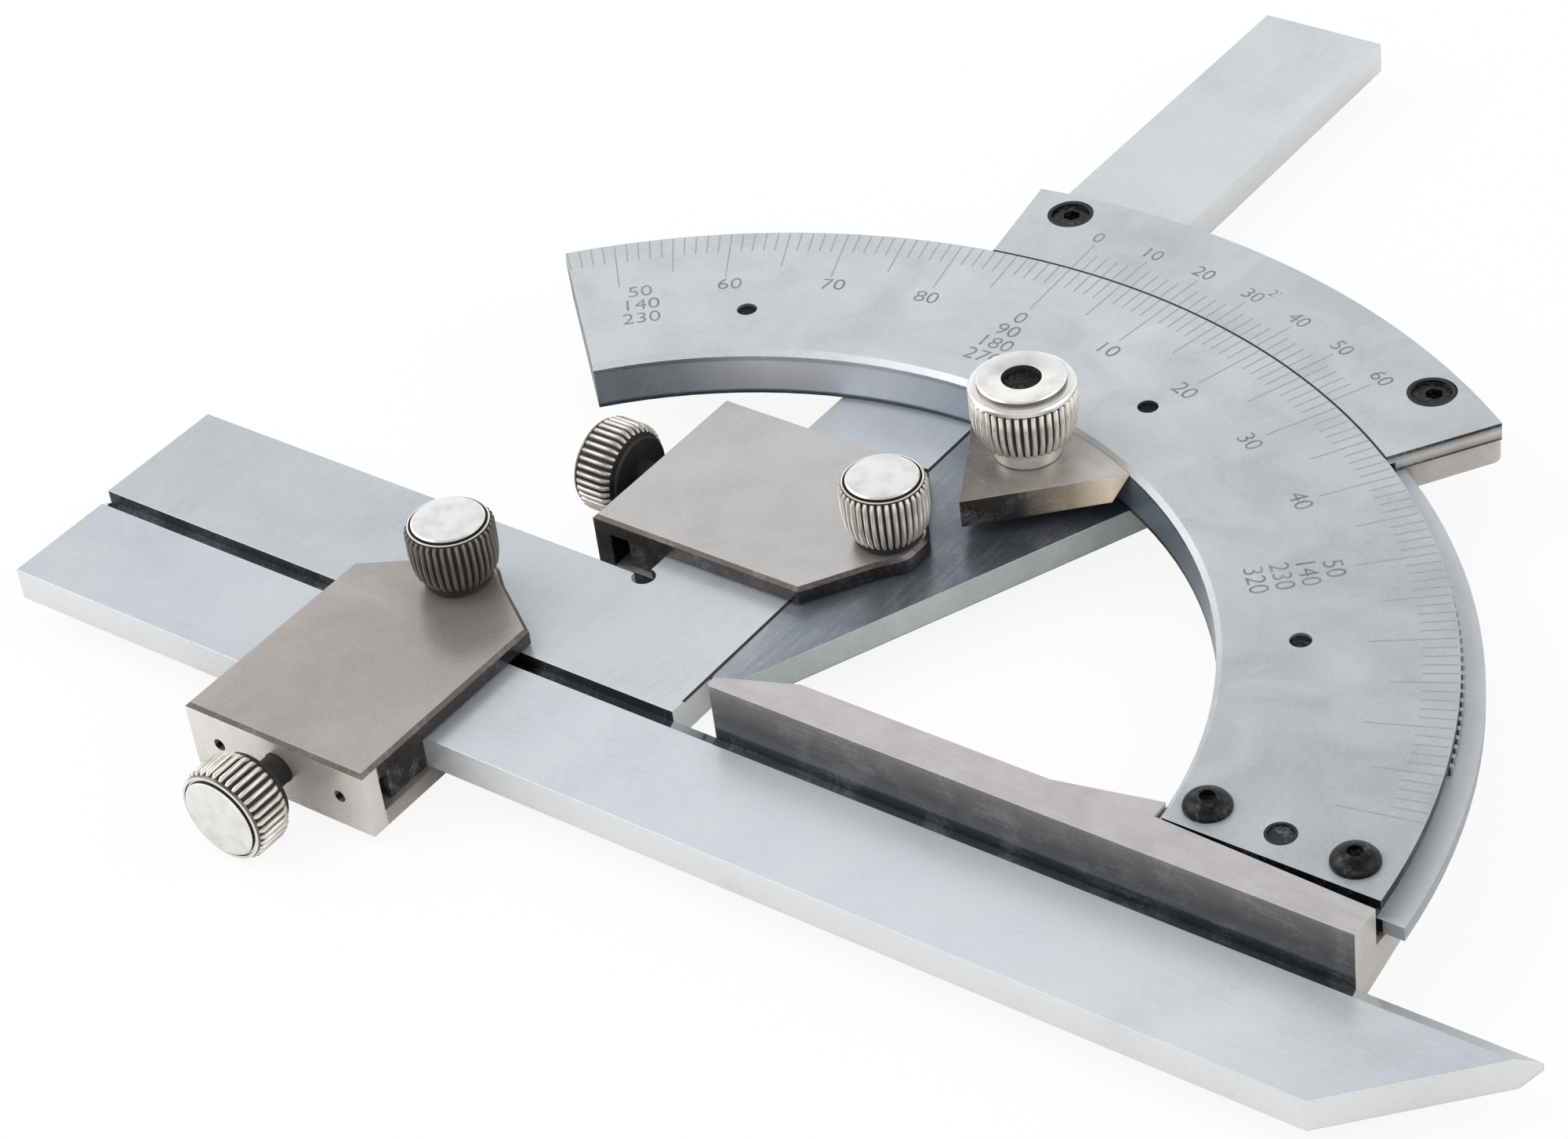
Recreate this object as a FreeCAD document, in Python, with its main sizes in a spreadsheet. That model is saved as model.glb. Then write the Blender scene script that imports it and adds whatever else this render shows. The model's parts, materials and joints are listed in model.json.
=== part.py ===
import FreeCAD, Part
import math
import os
import Sketcher

# Universal bevel protractor: an arc-shaped main scale screwed to a base rule, a
# sector plate that swings under it about the vertex, and a square and a blade
# held on the sector by two screw clamps. All sizes are in millimetres.
# The origin is the vertex, where the measuring faces meet, on the resting plane.
# +X runs along the base rule, +Y along the long leg of the square at reading 0.

os.makedirs("parts", exist_ok=True)
doc = FreeCAD.newDocument("bevel_protractor")
sheet = doc.addObject("Spreadsheet::Sheet", "Sizes")

SIZES = {
    # Levels
    "clamp_plate": 1.6,
    "member_thickness": 3.2,
    "slide_gap": 0.05,
    "foot_height": 1.35,
    "flange_thickness": 1.35,
    "tooth_face": 0.95,
    "scale_thickness": 1.0,
    # Main scale and its toothed carrier
    "scale_radius": 66.0,
    "arc_width": 20.0,
    "arc_bevel": 0.5,
    "arc_left_angle": 46.0,
    "arc_end_offset": 4.2,
    "foot_inset": 0.4,
    "flange_overhang": 2.0,
    "rack_teeth_per_turn": 360,
    "rack_first_tooth": 6,
    "rack_last_tooth": 71,
    "pin_inset": 7.0,
    "scale_pin_radius": 0.95,
    "scale_pin_recess": 0.3,
    "scale_pin_floor": 0.2,
    "fit_gap": 0.02,
    "screw_gap": 0.1,
    # Base rule
    "rule_start": 4.3,
    "rule_end_inset": 0.05,
    "rule_tip_width": 1.1,
    "rule_taper_length": 7.0,
    "rule_width": 3.8,
    "rule_kink_inset": 10.0,
    "rule_lip": 1.7,
    "rule_lip_margin": 0.2,
    "rule_lip_taper": 1.2,
    "rule_tip_round": 0.4,
    "rabbet_depth": 3.8,
    "rabbet_gap_left": 0.15,
    "rabbet_gap_right": 1.0,
    "shelf_inset": 0.2,
    "shelf_width": 10.4,
    "shelf_gap": 0.15,
    "shelf_bottom": 0.3,
    "shelf_slope": 0.24,
    "base_screw_line": 7.1,
    "base_screw_inset_left": 2.7,
    "base_screw_inset_right": 4.0,
    "base_screw_radius": 1.0,
    "base_screw_reach": 2.0,
    "base_screw_floor": 0.3,
    "base_head_radius": 2.0,
    "base_head_height": 1.3,
    "base_socket": 0.75,
    "dowel_radius": 1.15,
    "dowel_recess": 0.15,
    "dowel_floor": 0.1,
    # Sector plate and guide rim
    "sector_gap": 0.15,
    "sector_low_corner": 5.4,
    "sector_toe_across": 2.75,
    "sector_toe_along": 6.3,
    "sector_edge_angle": 25.0,
    "sector_edge_bevel": 0.5,
    "guide_width": 10.0,
    "guide_clearance": 0.06,
    "guide_left_angle": 9.1,
    "guide_right_angle": 35.2,
    "guide_corner": 1.2,
    "guide_screw_inset": 3.0,
    "guide_screw_near": 4.5,
    "guide_screw_far": 21.5,
    "guide_screw_radius": 1.0,
    "guide_screw_roof": 0.6,
    "guide_head_radius": 1.9,
    "guide_slot_width": 0.4,
    "guide_slot_depth": 0.4,
    # Vernier plate
    "vernier_thickness": 1.8,
    "vernier_setback": 0.7,
    "vernier_gap": 0.15,
    "vernier_right_angle": 35.7,
    "vernier_lip": 0.9,
    "vernier_relief": 0.9,
    "vernier_screw_inset": 2.9,
    "vernier_screw_left": -5.6,
    "vernier_screw_right": 30.3,
    "vernier_screw_radius": 1.0,
    "vernier_screw_reach": 2.0,
    "vernier_screw_floor": 0.2,
    "vernier_head_radius": 1.95,
    "vernier_head_height": 1.1,
    "vernier_counterbore": 2.12,
    "vernier_web": 0.4,
    "vernier_socket": 0.85,
    # Pinion and thumb wheel
    "pinion_teeth": 24,
    "pinion_angle": 13.5,
    "pinion_face": 0.7,
    "pinion_float": 0.05,
    "pinion_room": 0.3,
    "tooth_backlash": 0.03,
    "shaft_radius": 1.3,
    "shaft_end": 0.1,
    "running_gap": 0.05,
    "wheel_radius": 7.5,
    "wheel_thickness": 1.4,
    "wheel_ribs": 24,
    "rib_depth": 0.35,
    # Arc brake
    "brake_across": 9.8,
    "brake_along": 40.4,
    "stud_radius": 1.7,
    "brake_apex_across": 8.7,
    "brake_apex_along": 31.1,
    "brake_right_across": 22.2,
    "brake_right_along": 43.8,
    "brake_left_across": 0.0,
    "brake_left_along": 47.0,
    "brake_thickness": 2.75,
    "brake_rise": -0.35,
    "brake_lap": 0.06,
    "brake_slope": 0.6,
    "brake_bore_gap": 0.15,
    "spacer_radius": 3.2,
    "nut_collar_radius": 3.1,
    "nut_collar_height": 1.5,
    "nut_foot_radius": 3.6,
    "nut_belly_radius": 4.35,
    "nut_belly_rise": 0.8,
    "nut_radius": 4.85,
    "nut_shoulder_rise": 3.0,
    "nut_body_height": 5.95,
    "nut_top_chamfer": 0.4,
    "nut_crown_radius": 4.05,
    "nut_crown_height": 0.55,
    "stud_recess": 0.6,
    # Square
    "square_width": 13.6,
    "square_length": 121.5,
    "square_short_length": 66.2,
    "corner_relief": 1.1,
    # Blade
    "blade_width": 12.9,
    "blade_left": 65.3,
    "blade_tip": 81.9,
    "edge_top_width": 1.75,
    "edge_top_drop": 1.05,
    "edge_low_width": 1.35,
    "edge_low_rise": 1.4,
    # Clamps
    "clamp_half_width": 10.05,
    "clamp_shoulder": 1.2,
    "clamp_wall": 1.8,
    "clamp_gap": 0.25,
    "clamp_edge": 0.35,
    "nose_cheek_reach": 5.2,
    "nose_cheek_half": 4.0,
    "nose_tip_reach": 7.2,
    "nose_tip_half": 1.7,
    "nose_round": 2.5,
    "top_screw_place": 3.9,
    "top_screw_radius": 1.25,
    "top_screw_lift": 0.02,
    "gib_thickness": 4.7,
    "gib_height": 3.35,
    "gib_travel": 1.5,
    "gib_inset": 0.6,
    "guide_pin_radius": 0.55,
    "guide_pin_spacing": 6.85,
    "guide_pin_height": 3.2,
    "guide_pin_depth": 1.5,
    "guide_pin_recess": 0.8,
    "side_screw_height": 3.5,
    "side_screw_radius": 1.45,
    "swivel_radius": 0.75,
    "swivel_depth": 1.5,
    "square_clamp_along": 26.8,
    "blade_clamp_across": -26.4,
    # Knobs
    "knob_chamfer": 0.4,
    "knob_ring_width": 0.3,
    "knob_ring_depth": 0.2,
    "top_knob_radius": 4.0,
    "top_knob_foot_radius": 3.5,
    "top_knob_length": 5.8,
    "top_knob_shoulder": 3.2,
    "top_knob_collar_radius": 3.1,
    "top_knob_collar_length": 0.5,
    "top_knob_cap_radius": 3.35,
    "top_knob_standoff": 0.3,
    "side_knob_radius": 4.5,
    "side_knob_foot_radius": 4.25,
    "side_knob_length": 4.4,
    "side_knob_shoulder": 3.5,
    "side_knob_collar_radius": 3.6,
    "side_knob_collar_length": 0.6,
    "side_knob_cap_radius": 3.75,
    "side_knob_standoff": 2.6,
}

for row, (alias, value) in enumerate(SIZES.items(), start=1):
    sheet.set("A%d" % row, alias)
    sheet.set("B%d" % row, str(value))
    sheet.setAlias("B%d" % row, alias)
doc.recompute()


class Size:
    """A length or angle with its value and the expression that gives it."""

    def __init__(self, value, text):
        self.value = float(value)
        self.text = text

    def __add__(self, other):
        other = as_size(other)
        return Size(self.value + other.value, "(%s + %s)" % (self.text, other.text))

    def __sub__(self, other):
        other = as_size(other)
        return Size(self.value - other.value, "(%s - %s)" % (self.text, other.text))

    def __rsub__(self, other):
        return as_size(other) - self

    def __mul__(self, other):
        other = as_size(other)
        return Size(self.value * other.value, "(%s * %s)" % (self.text, other.text))

    def __truediv__(self, other):
        other = as_size(other)
        return Size(self.value / other.value, "(%s / %s)" % (self.text, other.text))

    def __neg__(self):
        return Size(-self.value, "(0 - %s)" % self.text)

    __radd__ = __add__
    __rmul__ = __mul__


def as_size(number):
    if isinstance(number, Size):
        return number
    return Size(number, repr(float(number)))


def size(alias):
    return Size(SIZES[alias], "Sizes." + alias)


def sine(angle):
    angle = as_size(angle)
    return Size(math.sin(math.radians(angle.value)), "sin(%s * 1 deg)" % angle.text)


def cosine(angle):
    angle = as_size(angle)
    return Size(math.cos(math.radians(angle.value)), "cos(%s * 1 deg)" % angle.text)


def tangent(angle):
    return sine(angle) / cosine(angle)


def bind(item, path, length):
    item.setExpression(path, as_size(length).text)


def place(item, across, along, level):
    bind(item, "Placement.Base.x", across)
    bind(item, "Placement.Base.y", along)
    bind(item, "Placement.Base.z", level)


# Helpers for solids. Angles on the scale are measured from +Y, clockwise as
# seen from above, so a ring from scale angle a to b starts at 90 - b degrees.


def box(name, low, sides):
    item = doc.addObject("Part::Box", name)
    for path, length in zip(("Length", "Width", "Height"), sides):
        bind(item, path, length)
    place(item, *low)
    return item


def disc(name, radius, height, across=0, along=0, level=0):
    item = doc.addObject("Part::Cylinder", name)
    bind(item, "Radius", radius)
    bind(item, "Height", height)
    place(item, across, along, level)
    return item


def cone(name, low_radius, high_radius, height, across=0, along=0, level=0):
    item = doc.addObject("Part::Cone", name)
    bind(item, "Radius1", low_radius)
    bind(item, "Radius2", high_radius)
    bind(item, "Height", height)
    place(item, across, along, level)
    return item


def wedge_ring(name, radius, height, level, left_angle, right_angle):
    item = disc(name, radius, height, 0, 0, level)
    bind(item, "Angle", as_size(right_angle) - left_angle)
    item.Placement.Rotation = FreeCAD.Rotation(FreeCAD.Vector(0, 0, 1), 0)
    bind(item, "Placement.Rotation.Angle", 90 - as_size(right_angle))
    return item


def hexagon(name, circumradius, height, across, along, level):
    item = doc.addObject("Part::Prism", name)
    item.Polygon = 6
    bind(item, "Circumradius", circumradius)
    bind(item, "Height", height)
    place(item, across, along, level)
    return item


def cut(name, base, tools):
    tool = tools[0]
    if len(tools) > 1:
        tool = doc.addObject("Part::MultiFuse", name + "_tools")
        tool.Shapes = tools
    item = doc.addObject("Part::Cut", name)
    item.Base = base
    item.Tool = tool
    return item


def fuse(name, shapes):
    item = doc.addObject("Part::MultiFuse", name)
    item.Shapes = shapes
    item.Refine = True
    return item


def common(name, shapes):
    item = doc.addObject("Part::MultiCommon", name)
    item.Shapes = shapes
    return item


def group(name, shapes):
    item = doc.addObject("Part::Compound", name)
    item.Links = shapes
    return item


def on_circle(radius, angle):
    return radius * sine(angle), radius * cosine(angle)


# Helpers for bodies built from sketches


def origin_feature(body, role):
    for item in body.Origin.OriginFeatures:
        if item.Role == role:
            return item


def outline(body, name, plane, points, offset):
    sketch = body.newObject("Sketcher::SketchObject", name)
    sketch.AttachmentSupport = (origin_feature(body, plane), [""])
    sketch.MapMode = "FlatFace"
    bind(sketch, "AttachmentOffset.Base.z", offset)
    points = [(as_size(first), as_size(second)) for first, second in points]
    count = len(points)
    corners = [FreeCAD.Vector(first.value, second.value, 0) for first, second in points]
    for index in range(count):
        line = Part.LineSegment(corners[index], corners[(index + 1) % count])
        sketch.addGeometry(line, False)
    for index in range(count):
        sketch.addConstraint(Sketcher.Constraint("Coincident", index, 2, (index + 1) % count, 1))
    for index, (first, second) in enumerate(points):
        for kind, length, axis in (("DistanceX", first, -2), ("DistanceY", second, -1)):
            if abs(length.value) < 1e-9:
                sketch.addConstraint(Sketcher.Constraint("PointOnObject", index, 1, axis))
            else:
                rule = Sketcher.Constraint(kind, -1, 1, index, 1, length.value)
                number = sketch.addConstraint(rule)
                sketch.setExpression("Constraints[%d]" % number, length.text)
    return sketch


def pad(body, name, points, level, height):
    sketch = outline(body, name + "_outline", "XY_Plane", points, level)
    feature = body.newObject("PartDesign::Pad", name)
    feature.Profile = sketch
    bind(feature, "Length", height)
    return feature


def turned(body, name, points):
    sketch = outline(body, name + "_profile", "XZ_Plane", points, 0)
    feature = body.newObject("PartDesign::Revolution", name)
    feature.Profile = sketch
    feature.ReferenceAxis = (sketch, ["V_Axis"])
    feature.Angle = 360
    return feature


def new_body(name):
    return doc.addObject("PartDesign::Body", name)


def knurl(body, radius, depth, count, low, height):
    """Straight V grooves round a turned wheel, one cut and a polar pattern."""
    half = radius * math.pi / count * 0.8
    points = [(radius - depth, 0), (radius + 0.4, half), (radius + 0.4, -half)]
    sketch = outline(body, body.Name + "_groove_outline", "XY_Plane", points, low)
    groove = body.newObject("PartDesign::Pocket", body.Name + "_groove")
    groove.Profile = sketch
    groove.Reversed = True
    bind(groove, "Length", height)
    pattern = body.newObject("PartDesign::PolarPattern", body.Name + "_grooves")
    pattern.Originals = [groove]
    pattern.Axis = (origin_feature(body, "Z_Axis"), [""])
    pattern.Angle = 360
    bind(pattern, "Occurrences", count)
    body.Tip = pattern
    return pattern


def edges_where(shape, test):
    names = []
    for number, edge in enumerate(shape.Edges, start=1):
        if test(edge):
            names.append("Edge%d" % number)
    return names


def is_upright(edge):
    box_of = edge.BoundBox
    return box_of.XLength < 1e-4 and box_of.YLength < 1e-4 and box_of.ZLength > 1e-3


nodes = []


def keep(item, label):
    item.Label = label
    nodes.append(item)
    return item


# Levels from the resting plane upwards

member_low = size("clamp_plate")
member_top = member_low + size("member_thickness")
arc_low = member_top + size("slide_gap")
flange_low = arc_low + size("foot_height")
tooth_low = flange_low + size("flange_thickness")
scale_low = tooth_low + size("tooth_face")
face_level = scale_low + size("scale_thickness")
vernier_low = face_level - size("vernier_thickness")
scale_radius = size("scale_radius")
arc_inner = scale_radius - size("arc_width")
arc_left = -size("arc_left_angle")
fit_gap = size("fit_gap")
screw_gap = size("screw_gap")
running = size("running_gap")
module = scale_radius * 2 / size("rack_teeth_per_turn")
addendum = module * 0.8
dedendum = module * 1.15

# Places of the pins and screws of the arc, as scale angles and as positions
pin_angles = (-29.1, 17.7, 57.6)
pin_places = [on_circle(arc_inner + size("pin_inset"), angle) for angle in pin_angles]
screw_left = arc_inner + size("base_screw_inset_left")
screw_right = scale_radius - size("base_screw_inset_right")
screw_places = [(screw_left, size("base_screw_line")), (screw_right, size("base_screw_line"))]
dowel_place = ((screw_left + screw_right) / 2, size("base_screw_line"))


# Main scale: flat arc plate with the graduated face, cut parallel to the base
# rule at its right end and along a radius at its left end.


def arc_end_box(name, level, height):
    reach = scale_radius + size("flange_overhang") + 2
    low = (0, -reach * 0.5, level)
    return box(name, low, (reach, reach * 0.5 + size("arc_end_offset"), height))


def arc_bores(name, level, height, gap):
    bores = []
    for number, (across, along) in enumerate(pin_places, start=1):
        radius = size("scale_pin_radius") + fit_gap
        bores.append(disc("%s_pin_bore_%d" % (name, number), radius, height, across, along, level))
    for number, (across, along) in enumerate(screw_places, start=1):
        radius = size("base_screw_radius") + gap
        bores.append(disc("%s_screw_bore_%d" % (name, number), radius, height, across, along, level))
    radius = size("dowel_radius") + fit_gap
    bores.append(disc(name + "_dowel_bore", radius, height, *dowel_place, level))
    return bores


scale_blank = wedge_ring("scale_blank", scale_radius, size("scale_thickness"), scale_low, arc_left, 90)
scale_opening = disc("scale_opening", arc_inner, size("scale_thickness") + 2, 0, 0, scale_low - 1)
bevel_height = size("arc_bevel")
scale_bevel = cone("scale_bevel", arc_inner - 1, arc_inner + bevel_height + 1, bevel_height + 2, 0, 0,
                   face_level - bevel_height - 1)
scale_cuts = [scale_opening, scale_bevel, arc_end_box("scale_end", scale_low - 1, size("scale_thickness") + 2)]
scale_cuts += arc_bores("scale", scale_low - 1, size("scale_thickness") + 2, screw_gap)
keep(cut("main_scale", scale_blank, scale_cuts), "main_scale")


# Toothed carrier of the scale: foot that slides on the sector plate, guiding
# flange, and above it the rack teeth that the pinion drives.


def rack_outline():
    """Rim of the carrier with straight-flanked teeth, one to each degree of pitch."""
    pitch_radius = scale_radius.value
    tip = pitch_radius + addendum.value
    root = pitch_radius - dedendum.value
    pitch = 2 * math.pi * pitch_radius / SIZES["rack_teeth_per_turn"]
    half = pitch / 4 - SIZES["tooth_backlash"]
    slope = math.tan(math.radians(20))
    half_tip = half - addendum.value * slope
    half_root = half + dedendum.value * slope
    step = 360.0 / SIZES["rack_teeth_per_turn"]

    def point(radius, angle):
        turn = math.radians(angle)
        return FreeCAD.Vector(radius * math.sin(turn), radius * math.cos(turn), 0)

    def off(width, radius):
        return math.degrees(width / radius)

    first = SIZES["rack_first_tooth"]
    last = SIZES["rack_last_tooth"]
    left = -SIZES["arc_left_angle"]
    inner = arc_inner.value
    points = []
    for number in range(int(last - first) + 1):
        centre = (first + number) * step
        points.append(point(root, centre - off(half_root, root)))
        points.append(point(tip, centre - off(half_tip, tip)))
        points.append(point(tip, centre + off(half_tip, tip)))
        points.append(point(root, centre + off(half_root, root)))
    start = first * step - off(half_root, root)
    finish = last * step + off(half_root, root)
    edges = [Part.LineSegment(point(inner, left), point(root, left)).toShape()]
    middle = point(root, (left + start) / 2)
    edges.append(Part.Arc(point(root, left), middle, point(root, start)).toShape())
    for one, two in zip(points[:-1], points[1:]):
        edges.append(Part.LineSegment(one, two).toShape())
    middle = point(root, (finish + 90) / 2)
    edges.append(Part.Arc(point(root, finish), middle, point(root, 90)).toShape())
    edges.append(Part.LineSegment(point(root, 90), point(inner, 90)).toShape())
    edges.append(Part.Arc(point(inner, 90), point(inner, (left + 90) / 2), point(inner, left)).toShape())
    return Part.Face(Part.Wire(Part.__sortEdges__(edges)))


tooth_rim = doc.addObject("Part::Feature", "tooth_rim")
tooth_rim.Shape = rack_outline().extrude(FreeCAD.Vector(0, 0, SIZES["tooth_face"]))
tooth_rim.Placement.Base.z = tooth_low.value
foot_radius = scale_radius - size("foot_inset")
foot = wedge_ring("carrier_foot", foot_radius, size("foot_height"), arc_low, arc_left, 90)
flange_radius = scale_radius + size("flange_overhang")
flange = wedge_ring("carrier_flange", flange_radius, size("flange_thickness"), flange_low, arc_left, 90)
carrier_height = scale_low - arc_low
carrier_bore = disc("carrier_opening", arc_inner, carrier_height + 2, 0, 0, arc_low - 1)
rabbet_floor = face_level - size("rabbet_depth")
seat_height = rabbet_floor - arc_low
carrier_seat = box("carrier_seat", (arc_inner - 3, 0, arc_low - 1),
                   (scale_radius, size("shelf_width") + size("shelf_gap"), seat_height + 1))
carrier_ring = cut("carrier_ring", fuse("carrier_steps", [foot, flange]), [carrier_bore])
carrier_blank = fuse("carrier_blank", [carrier_ring, tooth_rim])
carrier_cuts = [carrier_seat, arc_end_box("carrier_end", arc_low - 1, carrier_height + 2)]
pin_low = arc_low + size("scale_pin_floor")
for number, (across, along) in enumerate(pin_places, start=1):
    radius = size("scale_pin_radius") + fit_gap
    carrier_cuts.append(disc("carrier_pin_bore_%d" % number, radius, carrier_height + 1, across, along, pin_low))
for number, (across, along) in enumerate(screw_places, start=1):
    radius = size("base_screw_radius") + screw_gap
    name = "carrier_screw_bore_%d" % number
    carrier_cuts.append(disc(name, radius, carrier_height + 2, across, along, arc_low - 1))
carrier_cuts.append(disc("carrier_dowel_bore", size("dowel_radius") + fit_gap, carrier_height + 2,
                         *dowel_place, arc_low - 1))
keep(cut("gear_sector", carrier_blank, carrier_cuts), "gear_sector")

# Pins that hold the scale plate on its carrier, set just below the face
pin_height = face_level - size("scale_pin_recess") - pin_low
pins = []
for number, (across, along) in enumerate(pin_places, start=1):
    pins.append(disc("scale_pin_%d" % number, size("scale_pin_radius"), pin_height, across, along, pin_low))
keep(group("scale_pins", pins), "scale_pins")


# Base rule: bar with the measuring face at y = 0. It has a thin lip below, that
# the swinging sector passes behind, a tapered tip, and a shelf that carries the
# arc in a rabbet.

rule_start = size("rule_start")
rule_end = scale_radius - size("rule_end_inset")
rule_kink = arc_inner - size("rule_kink_inset")
rule_width = size("rule_width")
lip_top = member_top + size("rule_lip_margin")
rule = new_body("base_rule_body")
pad(rule, "rule_lip_pad", [
    (rule_start, 0), (rule_end, 0), (rule_end, size("rule_lip")),
    (rule_start + size("rule_lip_taper"), size("rule_lip")), (rule_start, size("rule_tip_width")),
], member_low, lip_top - member_low)
taper_end = rule_start + size("rule_taper_length")
arc_end = size("arc_end_offset")
pad(rule, "rule_bar_pad", [
    (rule_start, 0), (rule_end, 0), (rule_end, arc_end - size("rabbet_gap_right")),
    (arc_inner - 0.4, arc_end - size("rabbet_gap_left")), (arc_inner - 0.45, arc_end + 1.7),
    (rule_kink, rule_width), (taper_end, rule_width), (rule_start, size("rule_tip_width")),
], lip_top, face_level - lip_top)
shelf_low = member_low + size("shelf_bottom")
shelf_start = arc_inner + size("shelf_inset")
pad(rule, "rule_shelf_pad", [
    (shelf_start - 1, size("rule_lip") - 0.4), (rule_end, size("rule_lip") - 0.4),
    (rule_end, size("shelf_width")), (shelf_start, size("shelf_width")), (shelf_start - 0.6, arc_end + 1.3),
], shelf_low, rabbet_floor - shelf_low)
slope_rise = (size("shelf_width") + 1 - size("rule_lip")) * size("shelf_slope")
slope_sketch = outline(rule, "rule_slope_outline", "YZ_Plane", [
    (size("rule_lip"), shelf_low - 1), (size("shelf_width") + 1, shelf_low - 1),
    (size("shelf_width") + 1, shelf_low + slope_rise), (size("rule_lip"), shelf_low),
], shelf_start - 3)
slope = rule.newObject("PartDesign::Pocket", "rule_slope")
slope.Profile = slope_sketch
slope.Reversed = True
bind(slope, "Length", rule_end)
doc.recompute()
tip_edges = edges_where(slope.Shape, lambda edge: is_upright(edge) and edge.BoundBox.XMin < rule_start.value + 0.01
                        and edge.BoundBox.YMin < 0.01)
tip_round = rule.newObject("PartDesign::Fillet", "rule_tip_round")
tip_round.Base = (slope, tip_edges)
bind(tip_round, "Radius", size("rule_tip_round"))
rule_cuts = []
for number, (across, along) in enumerate(screw_places, start=1):
    radius = size("base_screw_radius") + fit_gap
    low = rabbet_floor - size("base_screw_reach") - size("base_screw_floor")
    rule_cuts.append(disc("rule_screw_bore_%d" % number, radius, size("base_screw_reach") + 1, across, along, low))
rule_cuts.append(disc("rule_dowel_bore", size("dowel_radius") + fit_gap, size("base_screw_reach") + 1,
                      *dowel_place, rabbet_floor - size("base_screw_reach")))
keep(cut("base_rule", rule, rule_cuts), "base_rule")

# Domed socket screws and dowel that fix the arc to the base rule
head = size("base_head_radius")
head_height = size("base_head_height")
screw_low = rabbet_floor - size("base_screw_reach") - face_level
base_screws = []
for number, (across, along) in enumerate(screw_places, start=1):
    body = new_body("base_screw_body_%d" % number)
    turned(body, "base_screw_turn_%d" % number, [
        (0, screw_low), (size("base_screw_radius"), screw_low), (size("base_screw_radius"), 0), (head, 0),
        (head, head_height * 0.35), (head * 0.65, head_height), (0, head_height),
    ])
    place(body, across, along, face_level)
    socket = hexagon("base_socket_%d" % number, size("base_socket"), head_height, across, along,
                     face_level + head_height * 0.4)
    base_screws.append(cut("base_screw_%d" % number, body, [socket]))
keep(group("base_screws", base_screws), "base_screws")
dowel_low = rabbet_floor - size("base_screw_reach") + size("dowel_floor")
dowel_height = face_level - size("dowel_recess") - dowel_low
keep(disc("base_dowel", size("dowel_radius"), dowel_height, *dowel_place, dowel_low), "base_dowel")


# Sector plate: carries the guide rim, the vernier and the brake, and swings
# about the vertex. Its left edge lies against the long leg of the square.

guide_inner = flange_radius + size("guide_clearance")
guide_outer = guide_inner + size("guide_width")
edge_angle = size("sector_edge_angle")
sector = new_body("sector_plate_body")
edge_reach = guide_outer * 1.15
sector_pad = pad(sector, "sector_pad", [
    (size("sector_gap"), size("sector_low_corner")),
    (size("sector_toe_across"), size("sector_toe_along")),
    (size("sector_toe_across") + edge_reach * sine(edge_angle),
     size("sector_toe_along") + edge_reach * cosine(edge_angle)),
    (size("sector_gap"), size("sector_toe_along") + edge_reach * cosine(edge_angle)),
], member_low, size("member_thickness"))
doc.recompute()


def is_low_slant(edge):
    span = edge.BoundBox
    return abs(span.ZMax - member_low.value) < 1e-4 and span.XLength > 10 and span.YLength > 10


sector_bevel = sector.newObject("PartDesign::Chamfer", "sector_bevel")
sector_bevel.Base = (sector_pad, edges_where(sector_pad.Shape, is_low_slant))
bind(sector_bevel, "Size", size("sector_edge_bevel"))
sector_round = disc("sector_round", guide_outer, size("member_thickness") + 2, 0, 0, member_low - 1)
sector_blank = common("sector_blank", [sector, sector_round])
pinion_radius = module * size("pinion_teeth") / 2
pinion_place = on_circle(scale_radius + pinion_radius, size("pinion_angle"))
brake_place = (size("brake_across"), size("brake_along"))
guide_screw_circle = guide_outer - size("guide_screw_inset")
guide_screw_places = [
    on_circle(guide_screw_circle, size("guide_screw_near")),
    on_circle(guide_screw_circle, size("guide_screw_far")),
]
guide_head_depth = size("guide_head_radius") - size("guide_screw_radius")
sector_cuts = [
    disc("sector_stud_bore", size("stud_radius") + fit_gap, size("member_thickness") + 2, *brake_place, member_low - 1),
    disc("sector_shaft_bore", size("shaft_radius") + running, size("member_thickness") + 2, *pinion_place,
         member_low - 1),
]
for number, (across, along) in enumerate(guide_screw_places, start=1):
    sector_cuts.append(disc("sector_screw_bore_%d" % number, size("guide_screw_radius") + fit_gap,
                            size("member_thickness") + 2, across, along, member_low - 1))
    sector_cuts.append(cone("sector_sink_%d" % number, size("guide_head_radius") + fit_gap,
                            size("guide_screw_radius") + fit_gap, guide_head_depth, across, along, member_low))
keep(cut("sector_plate", sector_blank, sector_cuts), "sector_plate")


# Guide rim: curved bar on the sector plate. The flange of the arc runs inside it.

guide_height = vernier_low - member_top
guide_left = -size("guide_left_angle")
guide_ring = wedge_ring("guide_ring", guide_outer, guide_height, member_top, guide_left, size("guide_right_angle"))
guide_blank = cut("guide_blank", guide_ring, [disc("guide_opening", guide_inner, guide_height + 2, 0, 0,
                                                   member_top - 1)])
doc.recompute()
guide_rounded = doc.addObject("Part::Fillet", "guide_rounded")
guide_rounded.Base = guide_blank
corner = SIZES["guide_corner"]
guide_rounded.Edges = [(number, corner, corner) for number, edge in enumerate(guide_blank.Shape.Edges, start=1)
                       if is_upright(edge)]
vernier_outer = guide_outer - size("vernier_setback")
vernier_screw_circle = vernier_outer - size("vernier_screw_inset")
vernier_screw_places = [
    on_circle(vernier_screw_circle, size("vernier_screw_left")),
    on_circle(vernier_screw_circle, size("vernier_screw_right")),
]
screw_depth = size("vernier_screw_reach")
guide_cuts = [disc("guide_shaft_bore", size("shaft_radius") + running, guide_height + 2, *pinion_place,
                   member_top - 1)]
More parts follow.
